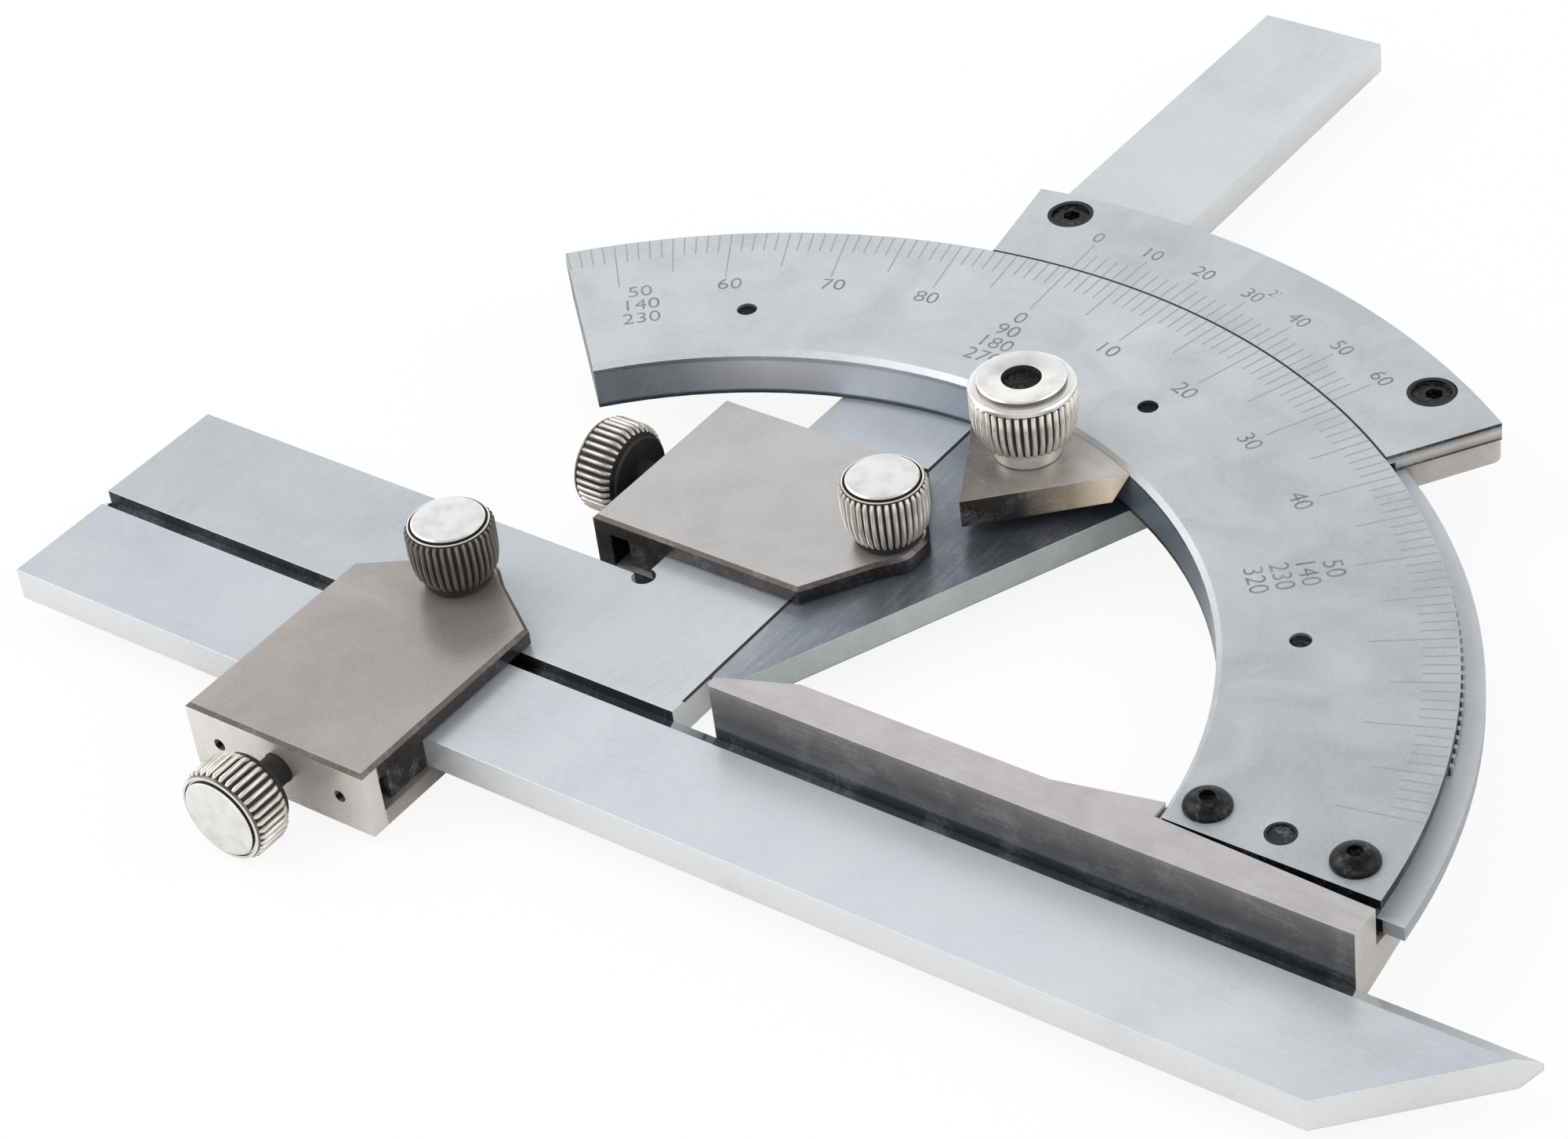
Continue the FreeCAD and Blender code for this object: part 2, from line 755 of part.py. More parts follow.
for number, (across, along) in enumerate(vernier_screw_places, start=1):
    guide_cuts.append(disc("guide_vernier_bore_%d" % number, size("vernier_screw_radius") + fit_gap,
                           screw_depth + 1.2, across, along, vernier_low - screw_depth - size("vernier_screw_floor")))
for number, (across, along) in enumerate(guide_screw_places, start=1):
    guide_cuts.append(disc("guide_screw_bore_%d" % number, size("guide_screw_radius") + fit_gap,
                           guide_height - size("guide_screw_roof") + 1.1, across, along, member_top - 1))
keep(cut("guide_rim", guide_rounded, guide_cuts), "guide_rim")

# Countersunk screws from below that hold the guide rim on the sector plate
guide_screws = []
guide_screw_height = size("member_thickness") + guide_height - size("guide_screw_roof")
for number, (across, along) in enumerate(guide_screw_places, start=1):
    shank = disc("guide_shank_%d" % number, size("guide_screw_radius"), guide_screw_height, across, along, member_low)
    sink = cone("guide_head_%d" % number, size("guide_head_radius"), size("guide_screw_radius"), guide_head_depth,
                across, along, member_low)
    solid = fuse("guide_screw_solid_%d" % number, [shank, sink])
    slot_half = size("guide_slot_width") / 2
    slot = box("guide_slot_%d" % number, (across - size("guide_head_radius") - 1, along - slot_half, member_low - 1),
               (size("guide_head_radius") * 2 + 2, slot_half * 2, size("guide_slot_depth") + 1))
    guide_screws.append(cut("guide_screw_%d" % number, solid, [slot]))
keep(group("guide_screws", guide_screws), "guide_screws")


# Vernier plate: flush with the scale, it covers the teeth and the pinion and
# has two counterbored holes.

vernier_inner = scale_radius + size("vernier_gap")
vernier_height = size("vernier_thickness")
vernier_right = size("vernier_right_angle")
vernier_blank = wedge_ring("vernier_blank", vernier_outer, vernier_height, vernier_low, guide_left, vernier_right)
pinion_tip = pinion_radius + addendum
pocket_top = face_level - size("vernier_lip")
vernier_cuts = [
    disc("vernier_opening", vernier_inner, vernier_height + 2, 0, 0, vernier_low - 1),
    disc("vernier_relief_ring", vernier_inner + size("vernier_relief"), pocket_top - vernier_low + 1, 0, 0,
         vernier_low - 1),
    disc("vernier_pinion_pocket", pinion_tip + size("pinion_room"), pocket_top - vernier_low + 1, *pinion_place,
         vernier_low - 1),
]
for number, (across, along) in enumerate(vernier_screw_places, start=1):
    vernier_cuts.append(disc("vernier_bore_%d" % number, size("vernier_screw_radius") + screw_gap,
                             vernier_height + 2, across, along, vernier_low - 1))
    vernier_cuts.append(disc("vernier_sink_%d" % number, size("vernier_counterbore"), vernier_height, across, along,
                             vernier_low + size("vernier_web")))
keep(cut("vernier_plate", vernier_blank, vernier_cuts), "vernier_plate")

vernier_screws = []
for number, (across, along) in enumerate(vernier_screw_places, start=1):
    shank_height = screw_depth + size("vernier_web")
    shank = disc("vernier_shank_%d" % number, size("vernier_screw_radius"), shank_height, across, along,
                 vernier_low - screw_depth)
    cap_low = vernier_low + size("vernier_web")
    cap = disc("vernier_cap_%d" % number, size("vernier_head_radius"), size("vernier_head_height"), across, along,
               cap_low)
    solid = fuse("vernier_screw_solid_%d" % number, [shank, cap])
    socket = hexagon("vernier_socket_%d" % number, size("vernier_socket"), size("vernier_head_height"), across, along,
                     cap_low + 0.4)
    vernier_screws.append(cut("vernier_screw_%d" % number, solid, [socket]))
keep(group("vernier_screws", vernier_screws), "vernier_screws")


# Pinion on its shaft under the vernier plate, in mesh with the rack, and the
# ribbed thumb wheel below the sector plate that turns it.


def pinion_outline():
    """Involute teeth, the first pointing from the pinion's axis to the vertex."""
    teeth = int(SIZES["pinion_teeth"])
    pitch_radius = pinion_radius.value
    base_radius = pitch_radius * math.cos(math.radians(20))
    tip = pitch_radius + addendum.value
    root = pitch_radius - dedendum.value
    half_pitch = math.pi / (2 * teeth) - SIZES["tooth_backlash"] / pitch_radius
    roll = math.tan(math.radians(20)) - math.radians(20)

    def half_angle(radius):
        if radius <= base_radius:
            return half_pitch + roll
        angle = math.acos(base_radius / radius)
        return half_pitch + roll - (math.tan(angle) - angle)

    radii = [root, base_radius]
    for part in (0.25, 0.5, 0.75, 1.0):
        radii.append(base_radius + (tip - base_radius) * part)
    points = []
    for tooth in range(teeth):
        middle = 2 * math.pi * tooth / teeth
        flank = [(radius, middle - half_angle(radius)) for radius in radii]
        flank += [(radius, middle + half_angle(radius)) for radius in reversed(radii)]
        points += [FreeCAD.Vector(radius * math.cos(turn), radius * math.sin(turn), 0) for radius, turn in flank]
    points.append(points[0])
    return Part.Face(Part.makePolygon(points))


pinion_low = vernier_low + size("pinion_float")
gear = doc.addObject("Part::Feature", "pinion_gear")
gear.Shape = pinion_outline().extrude(FreeCAD.Vector(0, 0, SIZES["pinion_face"]))
facing = FreeCAD.Rotation(FreeCAD.Vector(0, 0, 1), 270 - SIZES["pinion_angle"])
gear.Placement = FreeCAD.Placement(
    FreeCAD.Vector(pinion_place[0].value, pinion_place[1].value, pinion_low.value), facing)
wheel_thickness = size("wheel_thickness")
shaft_low = size("shaft_end")
shaft = disc("pinion_spindle", size("shaft_radius"), pinion_low - shaft_low + 0.1, *pinion_place, shaft_low)
keep(fuse("pinion_shaft", [gear, shaft]), "pinion_shaft")
wheel = new_body("thumb_wheel")
wheel_radius = size("wheel_radius")
turned(wheel, "wheel_turn", [
    (size("shaft_radius") + fit_gap, 0), (wheel_radius, 0), (wheel_radius, wheel_thickness),
    (size("shaft_radius") + fit_gap, wheel_thickness),
])
knurl(wheel, wheel_radius, size("rib_depth"), size("wheel_ribs"), as_size(-0.2), wheel_thickness + 0.4)
place(wheel, *pinion_place, 0)
keep(wheel, "thumb_wheel")


# Arc brake: threaded stud in the sector plate, spacer, wedge-edged plate that
# bears on the bevelled inner edge of the scale, and the ribbed nut above it.

brake_top = face_level + size("brake_rise")
brake_low = brake_top - size("brake_thickness")
nut_height = size("nut_collar_height") + size("nut_body_height") + size("nut_crown_height")
stud_height = brake_top + nut_height - size("stud_recess") - member_low
keep(disc("brake_stud", size("stud_radius"), stud_height, *brake_place, member_low), "brake_stud")
spacer = disc("spacer_blank", size("spacer_radius"), brake_low - member_top, *brake_place, member_top)
spacer_bore = disc("spacer_bore", size("stud_radius") + running, brake_low - member_top + 2, *brake_place,
                   member_top - 1)
keep(cut("brake_spacer", spacer, [spacer_bore]), "brake_spacer")
brake = new_body("brake_plate_body")
pad(brake, "brake_pad", [
    (size("brake_apex_across"), size("brake_apex_along")),
    (size("brake_right_across"), size("brake_right_along")),
    (size("brake_right_across") * 0.5, size("brake_left_along") + 3),
    (size("brake_left_across"), size("brake_left_along")),
], brake_low, size("brake_thickness"))
brake_edge_top = arc_inner + size("brake_lap")
brake_edge_low = brake_edge_top - size("brake_thickness") * size("brake_slope")
brake_round = cone("brake_round", brake_edge_low, brake_edge_top, size("brake_thickness"), 0, 0, brake_low)
brake_bore = disc("brake_bore", size("stud_radius") + size("brake_bore_gap"), size("brake_thickness") + 2,
                  *brake_place, brake_low - 1)
keep(cut("brake_plate", common("brake_blank", [brake, brake_round]), [brake_bore]), "brake_plate")
nut = new_body("brake_nut")
collar = size("nut_collar_height")
body_top = collar + size("nut_body_height")
nut_radius = size("nut_radius")
nut_top = size("nut_top_chamfer")
nut_bore = size("stud_radius") + running
turned(nut, "nut_turn", [
    (nut_bore, 0), (size("nut_collar_radius"), 0), (size("nut_collar_radius"), collar),
    (size("nut_foot_radius"), collar), (size("nut_belly_radius"), collar + size("nut_belly_rise")),
    (nut_radius, collar + size("nut_shoulder_rise")), (nut_radius, body_top - nut_top),
    (nut_radius - nut_top, body_top), (size("nut_crown_radius"), body_top),
    (size("nut_crown_radius"), body_top + size("nut_crown_height")),
    (nut_bore, body_top + size("nut_crown_height")),
])
place(nut, *brake_place, brake_top)
keep(nut, "brake_nut")


# Square: two legs at right angles, with a round relief in the inner corner.

width = size("square_width")
square_length = size("square_length")
short_length = size("square_short_length")
square_body = new_body("square_body")
pad(square_body, "square_pad", [
    (0, 0), (0, square_length), (-width, square_length), (-width, width), (-short_length, width), (-short_length, 0),
], member_low, size("member_thickness"))
relief = disc("square_relief", size("corner_relief"), size("member_thickness") + 2, -width, width, member_low - 1)
keep(cut("square", square_body, [relief]), "square")


# Blade: flush with the square, drawn to a knife edge along its measuring side by
# a bevel above and one below, and cut at 45 degrees at its right end.

blade = new_body("blade")
blade_width = size("blade_width")
blade_tip = size("blade_tip")
blade_profile = outline(blade, "blade_profile", "YZ_Plane", [
    (-blade_width, member_low), (-size("edge_low_width"), member_low), (0, member_low + size("edge_low_rise")),
    (0, member_top - size("edge_top_drop")), (-size("edge_top_width"), member_top), (-blade_width, member_top),
], -size("blade_left"))
blade_pad = blade.newObject("PartDesign::Pad", "blade_pad")
blade_pad.Profile = blade_profile
bind(blade_pad, "Length", size("blade_left") + blade_tip)
end_profile = outline(blade, "blade_end_outline", "XY_Plane", [
    (blade_tip - blade_width - 1, -blade_width - 1), (blade_tip + 1, -blade_width - 1), (blade_tip + 1, 1),
], member_top + 1)
blade_end = blade.newObject("PartDesign::Pocket", "blade_end")
blade_end.Profile = end_profile
bind(blade_end, "Length", size("member_thickness") + 2)
keep(blade, "blade")


# Screw clamps. Each is drawn with its nose along +X and its datum, the line
# where its two members meet, at x = 0, then turned and moved into place.

half_width = size("clamp_half_width")
clamp_top_low = member_top + size("clamp_gap")
clamp_top = clamp_top_low + size("clamp_plate")
gib_thickness = size("gib_thickness")
side_height = size("side_screw_height")
guide_pin_height = size("guide_pin_height")


def turned_body(body, angle, across, along, level):
    body.Placement.Rotation = FreeCAD.Rotation(FreeCAD.Vector(0, 0, 1), angle)
    place(body, across, along, level)


def screw_profile(knob, tip_radius, tip_length, shank_radius, shank_length):
    """Half section of a clamp screw: shank, foot collar, barrel knob and raised cap."""
    knob_low = tip_length + shank_length
    body_low = knob_low + size(knob + "_collar_length")
    body_top = body_low + size(knob + "_length")
    knob_radius = size(knob + "_radius")
    collar_radius = size(knob + "_collar_radius")
    cap_radius = size(knob + "_cap_radius")
    ring_level = body_top - size("knob_ring_depth")
    profile = [(0, 0), (tip_radius, 0)]
    if tip_length.value > 0:
        profile += [(tip_radius, tip_length), (shank_radius, tip_length)]
    profile += [
        (shank_radius, knob_low), (collar_radius, knob_low), (collar_radius, body_low),
        (size(knob + "_foot_radius"), body_low), (knob_radius, body_top - size(knob + "_shoulder")),
        (knob_radius, body_top - size("knob_chamfer")), (cap_radius + size("knob_ring_width"), ring_level),
        (cap_radius, ring_level), (cap_radius, body_top), (0, body_top),
    ]
    return profile


def clamp(prefix, angle, across, along, member_width):
    """One clamp: body, gib, gib pins, side screw and top screw."""
    reach = member_width + gib_thickness + size("gib_travel") + size("clamp_wall")
    shoulder = size("clamp_shoulder")
    cheek = size("nose_cheek_reach")
    cheek_half = size("nose_cheek_half")
    tip = size("nose_tip_reach")
    tip_half = size("nose_tip_half")
    shape = [
        (-reach, -half_width), (shoulder, -half_width), (cheek, -cheek_half), (tip, -tip_half),
        (tip, tip_half), (cheek, cheek_half), (shoulder, half_width), (-reach, half_width),
    ]
    body = new_body(prefix + "_frame")
    pad(body, prefix + "_bottom", shape, 0, size("clamp_plate"))
    wall_shape = [(-reach, -half_width), (size("clamp_wall") - reach, -half_width),
                  (size("clamp_wall") - reach, half_width), (-reach, half_width)]
    pad(body, prefix + "_wall", wall_shape, 0, clamp_top)
    top = pad(body, prefix + "_top", shape, clamp_top_low, size("clamp_plate"))
    doc.recompute()
    high = clamp_top.value

    def is_top_edge(edge):
        return abs(edge.BoundBox.ZMin - high) < 1e-4

    def is_nose_edge(edge):
        return is_upright(edge) and edge.BoundBox.XMin > shoulder.value + 0.5

    rounding = body.newObject("PartDesign::Fillet", prefix + "_nose_round")
    rounding.Base = (top, edges_where(top.Shape, is_nose_edge))
    bind(rounding, "Radius", size("nose_round"))
    doc.recompute()
    bevel = body.newObject("PartDesign::Chamfer", prefix + "_edge_bevel")
    bevel.Base = (rounding, edges_where(rounding.Shape, is_top_edge))
    bind(bevel, "Size", size("clamp_edge"))
    doc.recompute()
    screw_bore = disc(prefix + "_side_bore", size("side_screw_radius") + running, 6, -reach - 2, 0, side_height)
    pin_bores = []
    for number, side in enumerate((-1, 1), start=1):
        spot = size("guide_pin_spacing") * side
        pin_bores.append(disc("%s_pin_bore_%d" % (prefix, number), size("guide_pin_radius") + running, 6,
                              -reach - 2, spot, guide_pin_height))
    for bore in [screw_bore] + pin_bores:
        bore.Placement.Rotation = FreeCAD.Rotation(FreeCAD.Vector(0, 1, 0), 90)
    top_bore = disc(prefix + "_top_bore", size("top_screw_radius") + running, 4, size("top_screw_place"), 0,
                    clamp_top_low - 1)
    frame = cut(prefix + "_body", body, [screw_bore, top_bore] + pin_bores)
    turned_body(frame, angle, across, along, 0)
    keep(frame, prefix + "_body")

    gib_low = -(member_width + gib_thickness)
    gib_half = half_width - size("gib_inset")
    gib_blank = box(prefix + "_gib_blank", (gib_low, -gib_half, member_low),
                    (gib_thickness, gib_half * 2, size("gib_height")))
    gib_bores = [disc(prefix + "_swivel_bore", size("swivel_radius") + running, size("swivel_depth") + 1.1,
                      gib_low - 1, 0, side_height)]
    pins = []
    pin_length = size("guide_pin_depth") + size("gib_travel") + size("clamp_wall") - size("guide_pin_recess")
    for number, side in enumerate((-1, 1), start=1):
        spot = size("guide_pin_spacing") * side
        gib_bores.append(disc("%s_gib_bore_%d" % (prefix, number), size("guide_pin_radius") + fit_gap,
                              size("guide_pin_depth") + 1, gib_low - 1, spot, guide_pin_height))
        pins.append(disc("%s_pin_%d" % (prefix, number), size("guide_pin_radius"), pin_length,
                         size("guide_pin_recess") - reach, spot, guide_pin_height))
    for piece in gib_bores + pins:
        piece.Placement.Rotation = FreeCAD.Rotation(FreeCAD.Vector(0, 1, 0), 90)
    gib = cut(prefix + "_gib", gib_blank, gib_bores)
    turned_body(gib, angle, across, along, 0)
    keep(gib, prefix + "_gib")
    pair = group(prefix + "_pins", pins)
    turned_body(pair, angle, across, along, 0)
    keep(pair, prefix + "_pins")

    swivel = size("swivel_depth")
    shank = size("gib_travel") + size("clamp_wall") + size("side_knob_standoff")
    side = new_body(prefix + "_side_screw")
    turned(side, prefix + "_side_turn", screw_profile(
        "side_knob", size("swivel_radius"), swivel, size("side_screw_radius"), shank))
    lying = FreeCAD.Rotation(FreeCAD.Vector(0, 0, 1), angle).multiply(
        FreeCAD.Rotation(FreeCAD.Vector(0, 1, 0), -90))
    side.Placement.Rotation = lying
    reach_in = gib_low + swivel
    if angle == 0:
        place(side, reach_in + across, along, side_height)
    else:
        place(side, across, reach_in + along, side_height)
    keep(side, prefix + "_side_screw")

    press = new_body(prefix + "_top_screw")
    lift = size("top_screw_lift")
    shank = clamp_top - member_top - lift + size("top_knob_standoff")
    screw_radius = size("top_screw_radius")
    turned(press, prefix + "_top_turn", screw_profile("top_knob", screw_radius, as_size(0), screw_radius, shank))
    if angle == 0:
        place(press, size("top_screw_place") + across, along, member_top + lift)
    else:
        place(press, across, size("top_screw_place") + along, member_top + lift)
    keep(press, prefix + "_top_screw")


clamp("square_clamp", 0, as_size(0), size("square_clamp_along"), width)
clamp("blade_clamp", 90, size("blade_clamp_across"), as_size(0), blade_width)


# Checks, then one file per piece

doc.recompute()
faults = []
for item in doc.Objects:
    if "Invalid" in item.State or "Error" in item.State:
        faults.append("%s is %s" % (item.Name, item.State))
for item in nodes:
    shape = item.Shape
    if shape.isNull() or not shape.isValid() or not shape.Solids:
        faults.append("%s has no valid solid" % item.Label)
if faults:
    raise RuntimeError("; ".join(faults))
for item in nodes:
    item.Shape.exportStep("parts/%s.step" % item.Label)
    print("%-28s solids %d volume %.2f" % (item.Label, len(item.Shape.Solids), item.Shape.Volume))
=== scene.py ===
import json
import math

import bmesh
import bpy
from mathutils import Matrix, Vector


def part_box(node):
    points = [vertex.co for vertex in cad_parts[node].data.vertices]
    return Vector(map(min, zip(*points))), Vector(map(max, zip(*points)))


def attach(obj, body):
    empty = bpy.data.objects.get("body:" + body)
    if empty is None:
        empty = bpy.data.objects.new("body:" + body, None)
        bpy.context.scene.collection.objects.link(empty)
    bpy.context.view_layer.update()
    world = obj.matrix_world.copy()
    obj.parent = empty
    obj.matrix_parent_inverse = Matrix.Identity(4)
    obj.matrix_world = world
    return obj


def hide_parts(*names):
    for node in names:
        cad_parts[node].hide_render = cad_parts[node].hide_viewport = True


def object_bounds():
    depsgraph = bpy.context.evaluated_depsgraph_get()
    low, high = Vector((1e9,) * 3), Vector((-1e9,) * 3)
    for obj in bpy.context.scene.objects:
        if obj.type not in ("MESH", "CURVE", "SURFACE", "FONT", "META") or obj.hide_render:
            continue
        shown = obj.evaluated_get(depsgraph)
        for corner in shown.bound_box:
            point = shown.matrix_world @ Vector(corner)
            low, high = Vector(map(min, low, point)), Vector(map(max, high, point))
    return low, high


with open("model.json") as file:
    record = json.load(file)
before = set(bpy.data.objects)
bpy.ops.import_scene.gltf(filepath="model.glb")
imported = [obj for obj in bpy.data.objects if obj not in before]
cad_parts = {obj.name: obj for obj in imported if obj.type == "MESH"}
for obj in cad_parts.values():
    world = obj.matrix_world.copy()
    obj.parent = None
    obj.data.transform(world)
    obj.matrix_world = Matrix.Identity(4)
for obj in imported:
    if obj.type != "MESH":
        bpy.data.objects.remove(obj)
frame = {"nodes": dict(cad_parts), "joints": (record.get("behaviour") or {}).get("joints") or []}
cad_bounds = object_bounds()
nodes = frame["nodes"]
MM = 0.001

# Studio: a plain pale floor under the knobs and a white background, with a broad soft
# lamp in front on the left, a weaker one on the right and even light all round.


class Value:
    """One output in a node tree. Arithmetic on it adds Math nodes to the same tree."""

    def __init__(self, tree, output):
        self.tree = tree
        self.output = output

    def maths(self, operation, *terms):
        node = self.tree.nodes.new("ShaderNodeMath")
        node.operation = operation
        for slot, term in zip(node.inputs, terms):
            wire(self.tree, slot, term)
        return Value(self.tree, node.outputs[0])

    def __add__(self, other):
        return self.maths("ADD", self, other)

    def __sub__(self, other):
        return self.maths("SUBTRACT", self, other)

    def __rsub__(self, other):
        return self.maths("SUBTRACT", other, self)

    def __mul__(self, other):
        return self.maths("MULTIPLY", self, other)

    def __truediv__(self, other):
        return self.maths("DIVIDE", self, other)

    __radd__ = __add__
    __rmul__ = __mul__

    def rises(self, low, high):
        """0 below low, 1 above high, even between them."""
        share = (self - low) / (high - low)
        share.output.node.use_clamp = True
        return share

    def size(self):
        return self.maths("ABSOLUTE", self)

    def root(self):
        return self.maths("SQRT", self)


def wire(tree, slot, value):
    if isinstance(value, Value):
        tree.links.new(value.output, slot)
    else:
        slot.default_value = value


class Graph:
    """The node tree of a material, the world or a modifier, built one node at a time."""

    def __init__(self, tree):
        self.tree = tree

    def node(self, kind, settings=None, inputs=None, output=0):
        node = self.tree.nodes.new(kind)
        for name, value in (settings or {}).items():
            if name == "stops":
                ramp = node.color_ramp
                for extra in value[2:]:
                    ramp.elements.new(extra[0])
                for element, (place, colour) in zip(ramp.elements, value):
                    element.position = place
                    element.color = colour
            else:
                setattr(node, name, value)
        for name, value in (inputs or {}).items():
            wire(self.tree, node.inputs[name], value)
        return Value(self.tree, node.outputs[output]) if len(node.outputs) else None

    def blend(self, factor, first, second, way="MIX"):
        settings = {"data_type": "RGBA", "blend_type": way}
        return self.node("ShaderNodeMix", settings, {0: factor, 6: first, 7: second}, 2)

    def axes(self, vector):
        split = self.node("ShaderNodeSeparateXYZ", inputs={0: vector}).output.node
        return [Value(self.tree, part) for part in split.outputs]


def tint(code):
    """A colour written as in a paint chart, as the linear light it stands for."""
    parts = [int(code[place:place + 2], 16) / 255 for place in (1, 3, 5)]
    linear = [part / 12.92 if part <= 0.04045 else ((part + 0.055) / 1.055) ** 2.4 for part in parts]
    return tuple(linear + [1.0])


def bare_material(name):
    material = bpy.data.materials.new(name)
    material.use_nodes = True
    material.node_tree.nodes.clear()
    return material, Graph(material.node_tree)


def shown(name, data):
    """An object in the scene that holds this mesh, lamp, camera or text."""
    item = bpy.data.objects.new(name, data)
    bpy.context.scene.collection.objects.link(item)
    return item


world = bpy.data.worlds.new("studio")
bpy.context.scene.world = world
world.use_nodes = True
world.node_tree.nodes.clear()
sky = Graph(world.node_tree)
height = sky.axes(sky.node("ShaderNodeTexCoord", output="Generated"))[2]
dome = sky.node("ShaderNodeValToRGB", {"stops": [
    (0.0, tint("#B9BCC0")), (0.5, tint("#FFFFFF")), (0.72, tint("#FFFFFF")), (0.80, tint("#E9EBEE")),
    (0.86, tint("#C4C8CD")), (1.0, tint("#A0A5AB")),
]}, {0: height * 0.5 + 0.5})
even = sky.node("ShaderNodeBackground", inputs={"Color": tint("#F3F3F3"), "Strength": 0.82})
glossy = sky.node("ShaderNodeBackground", inputs={"Color": dome, "Strength": 1.15})
white = sky.node("ShaderNodeBackground", inputs={"Color": tint("#FFFFFF"), "Strength": 1.0})
mirrored = sky.node("ShaderNodeLightPath", output="Is Glossy Ray")
seen = sky.node("ShaderNodeLightPath", output="Is Camera Ray")
lit = sky.node("ShaderNodeMixShader", inputs={0: mirrored, 1: even, 2: glossy})
backdrop = sky.node("ShaderNodeMixShader", inputs={0: seen, 1: lit, 2: white})
sky.node("ShaderNodeOutputWorld", inputs={0: backdrop})

floor_half = 1.2
floor_gap = 0.05
floor_corners = [(-floor_half, -floor_half, 0), (floor_half, -floor_half, 0),
                 (floor_half, floor_half, 0), (-floor_half, floor_half, 0)]
floor_mesh = bpy.data.meshes.new("floor")
floor_mesh.from_pydata(floor_corners, [], [(0, 1, 2, 3)])
floor = shown("floor", floor_mesh)
floor.location.z = cad_bounds[0].z - floor_gap * MM
floor_paint, paint = bare_material("floor_paint")
matt = paint.node("ShaderNodeBsdfDiffuse", inputs={"Color": (0.86, 0.86, 0.86, 1)})
glow = paint.node("ShaderNodeEmission", inputs={"Color": tint("#FFFFFF"), "Strength": 1.0})
seen_glow = paint.node("ShaderNodeLightPath", output="Is Camera Ray") * 0.9
paper = paint.node("ShaderNodeMixShader", inputs={0: seen_glow, 1: matt, 2: glow})
paint.node("ShaderNodeOutputMaterial", inputs={0: paper})
floor_mesh.materials.append(floor_paint)

for lamp_name, lamp_place, lamp_size, lamp_watts in (
        ("window_lamp", (-0.85, -0.35, 0.85), 0.9, 8.5),
        ("fill_lamp", (0.85, 0.35, 0.75), 0.8, 3.0)):
    lamp = bpy.data.lights.new(lamp_name, "AREA")
    lamp.shape = "SQUARE"
    lamp.size = lamp_size
    lamp.energy = lamp_watts
    holder = shown(lamp_name, lamp)
    holder.location = lamp_place
    holder.rotation_euler = (-Vector(lamp_place)).to_track_quat("-Z", "Y").to_euler()

# Camera as in the photograph: near the right front, a third of a metre away, looking
# down across the vertex, tilted a little, with the frame shifted to the left.

camera_azimuth = math.radians(-38.17)
camera_drop = math.radians(37.87)
camera_roll = math.radians(-6.25)
camera_place = Vector((176.10, -185.47, 214.81)) * MM
camera_reach = math.cos(camera_drop)
ahead = Vector((math.sin(camera_azimuth) * camera_reach, math.cos(camera_azimuth) * camera_reach,
                -math.sin(camera_drop)))
level_right = ahead.cross(Vector((0, 0, 1))).normalized()
level_up = level_right.cross(ahead)
right = level_right * math.cos(camera_roll) + level_up * math.sin(camera_roll)
up = (-ahead).cross(right)
lens = bpy.data.cameras.new("camera")
lens.sensor_fit = "HORIZONTAL"
lens.sensor_width = 36
lens.lens = 89.78
lens.shift_x = -0.1
lens.clip_start = 0.01
camera = shown("camera", lens)
turn = Matrix((right, up, -ahead)).transposed().to_4x4()
camera.matrix_world = Matrix.Translation(camera_place) @ turn
bpy.context.scene.camera = camera
bpy.context.scene.view_settings.view_transform = "Standard"

# Main scale: the flat arc plate with a satin chrome face. The face scatters light
# evenly and carries faint cloudy marks from handling; its edges are bare steel. Its face is
# painted a little darker along X, a painted shade, its walls carry the painted reflection,
# and its end faces by the base rule are near black, a painted shadow.


class Finish:
    """A material in the making, with where a point lies on its piece and which way its face looks."""

    def __init__(self, name):
        self.material, self.graph = bare_material(name)
        self.place = self.graph.node("ShaderNodeTexCoord", output="Object")
        self.x, self.y, self.z = self.graph.axes(self.place)
        facing = self.graph.node("ShaderNodeTexCoord", output="Normal")
        self.across, self.along, self.upward = self.graph.axes(facing)

    def noise(self, scale, detail, roughness=0.5, distortion=0.0, place=None):
        return self.graph.node("ShaderNodeTexNoise", inputs={
            "Vector": place or self.place, "Scale": scale, "Detail": detail, "Roughness": roughness,
            "Distortion": distortion})

    def shade(self, colours, ruler):
        """One colour, or colours at places in mm along a ruler, blended from each to the next."""
        if isinstance(colours, str):
            return tint(colours)
        low, high = colours[0][0] * MM, colours[-1][0] * MM
        stops = [((level * MM - low) / (high - low), tint(code)) for level, code in colours]
        return self.graph.node("ShaderNodeValToRGB", {"stops": stops}, {0: (ruler - low) / (high - low)})

    def bump(self, strength, relief, **more):
        inputs = {"Strength": strength, "Distance": 0.01 * MM, "Height": relief}
        return self.graph.node("ShaderNodeBump", inputs=dict(inputs, **more))

    def finished(self, inputs):
        shader = self.graph.node("ShaderNodeBsdfPrincipled", inputs=inputs)
        self.graph.node("ShaderNodeOutputMaterial", inputs={0: shader})
        return self.material


# How far a face's normal leans towards a side, from where that side's colour starts to where
# it is full.
looks_aside = (0.45, 0.75)
looks_up = (0.4, 0.8)
slope_starts, slope_ends = (0.25, 0.4), (0.85, 0.95)
bevel_leans = (0.3, 0.45)
line_blur = 0.02 * MM
end_blur = 0.1 * MM
# Painted shade: near black for the gaps between teeth, and a plain grey for the tooth tips.
tooth_gap_shade = "#0E0F11"
tooth_tip = "#A4A8AC"


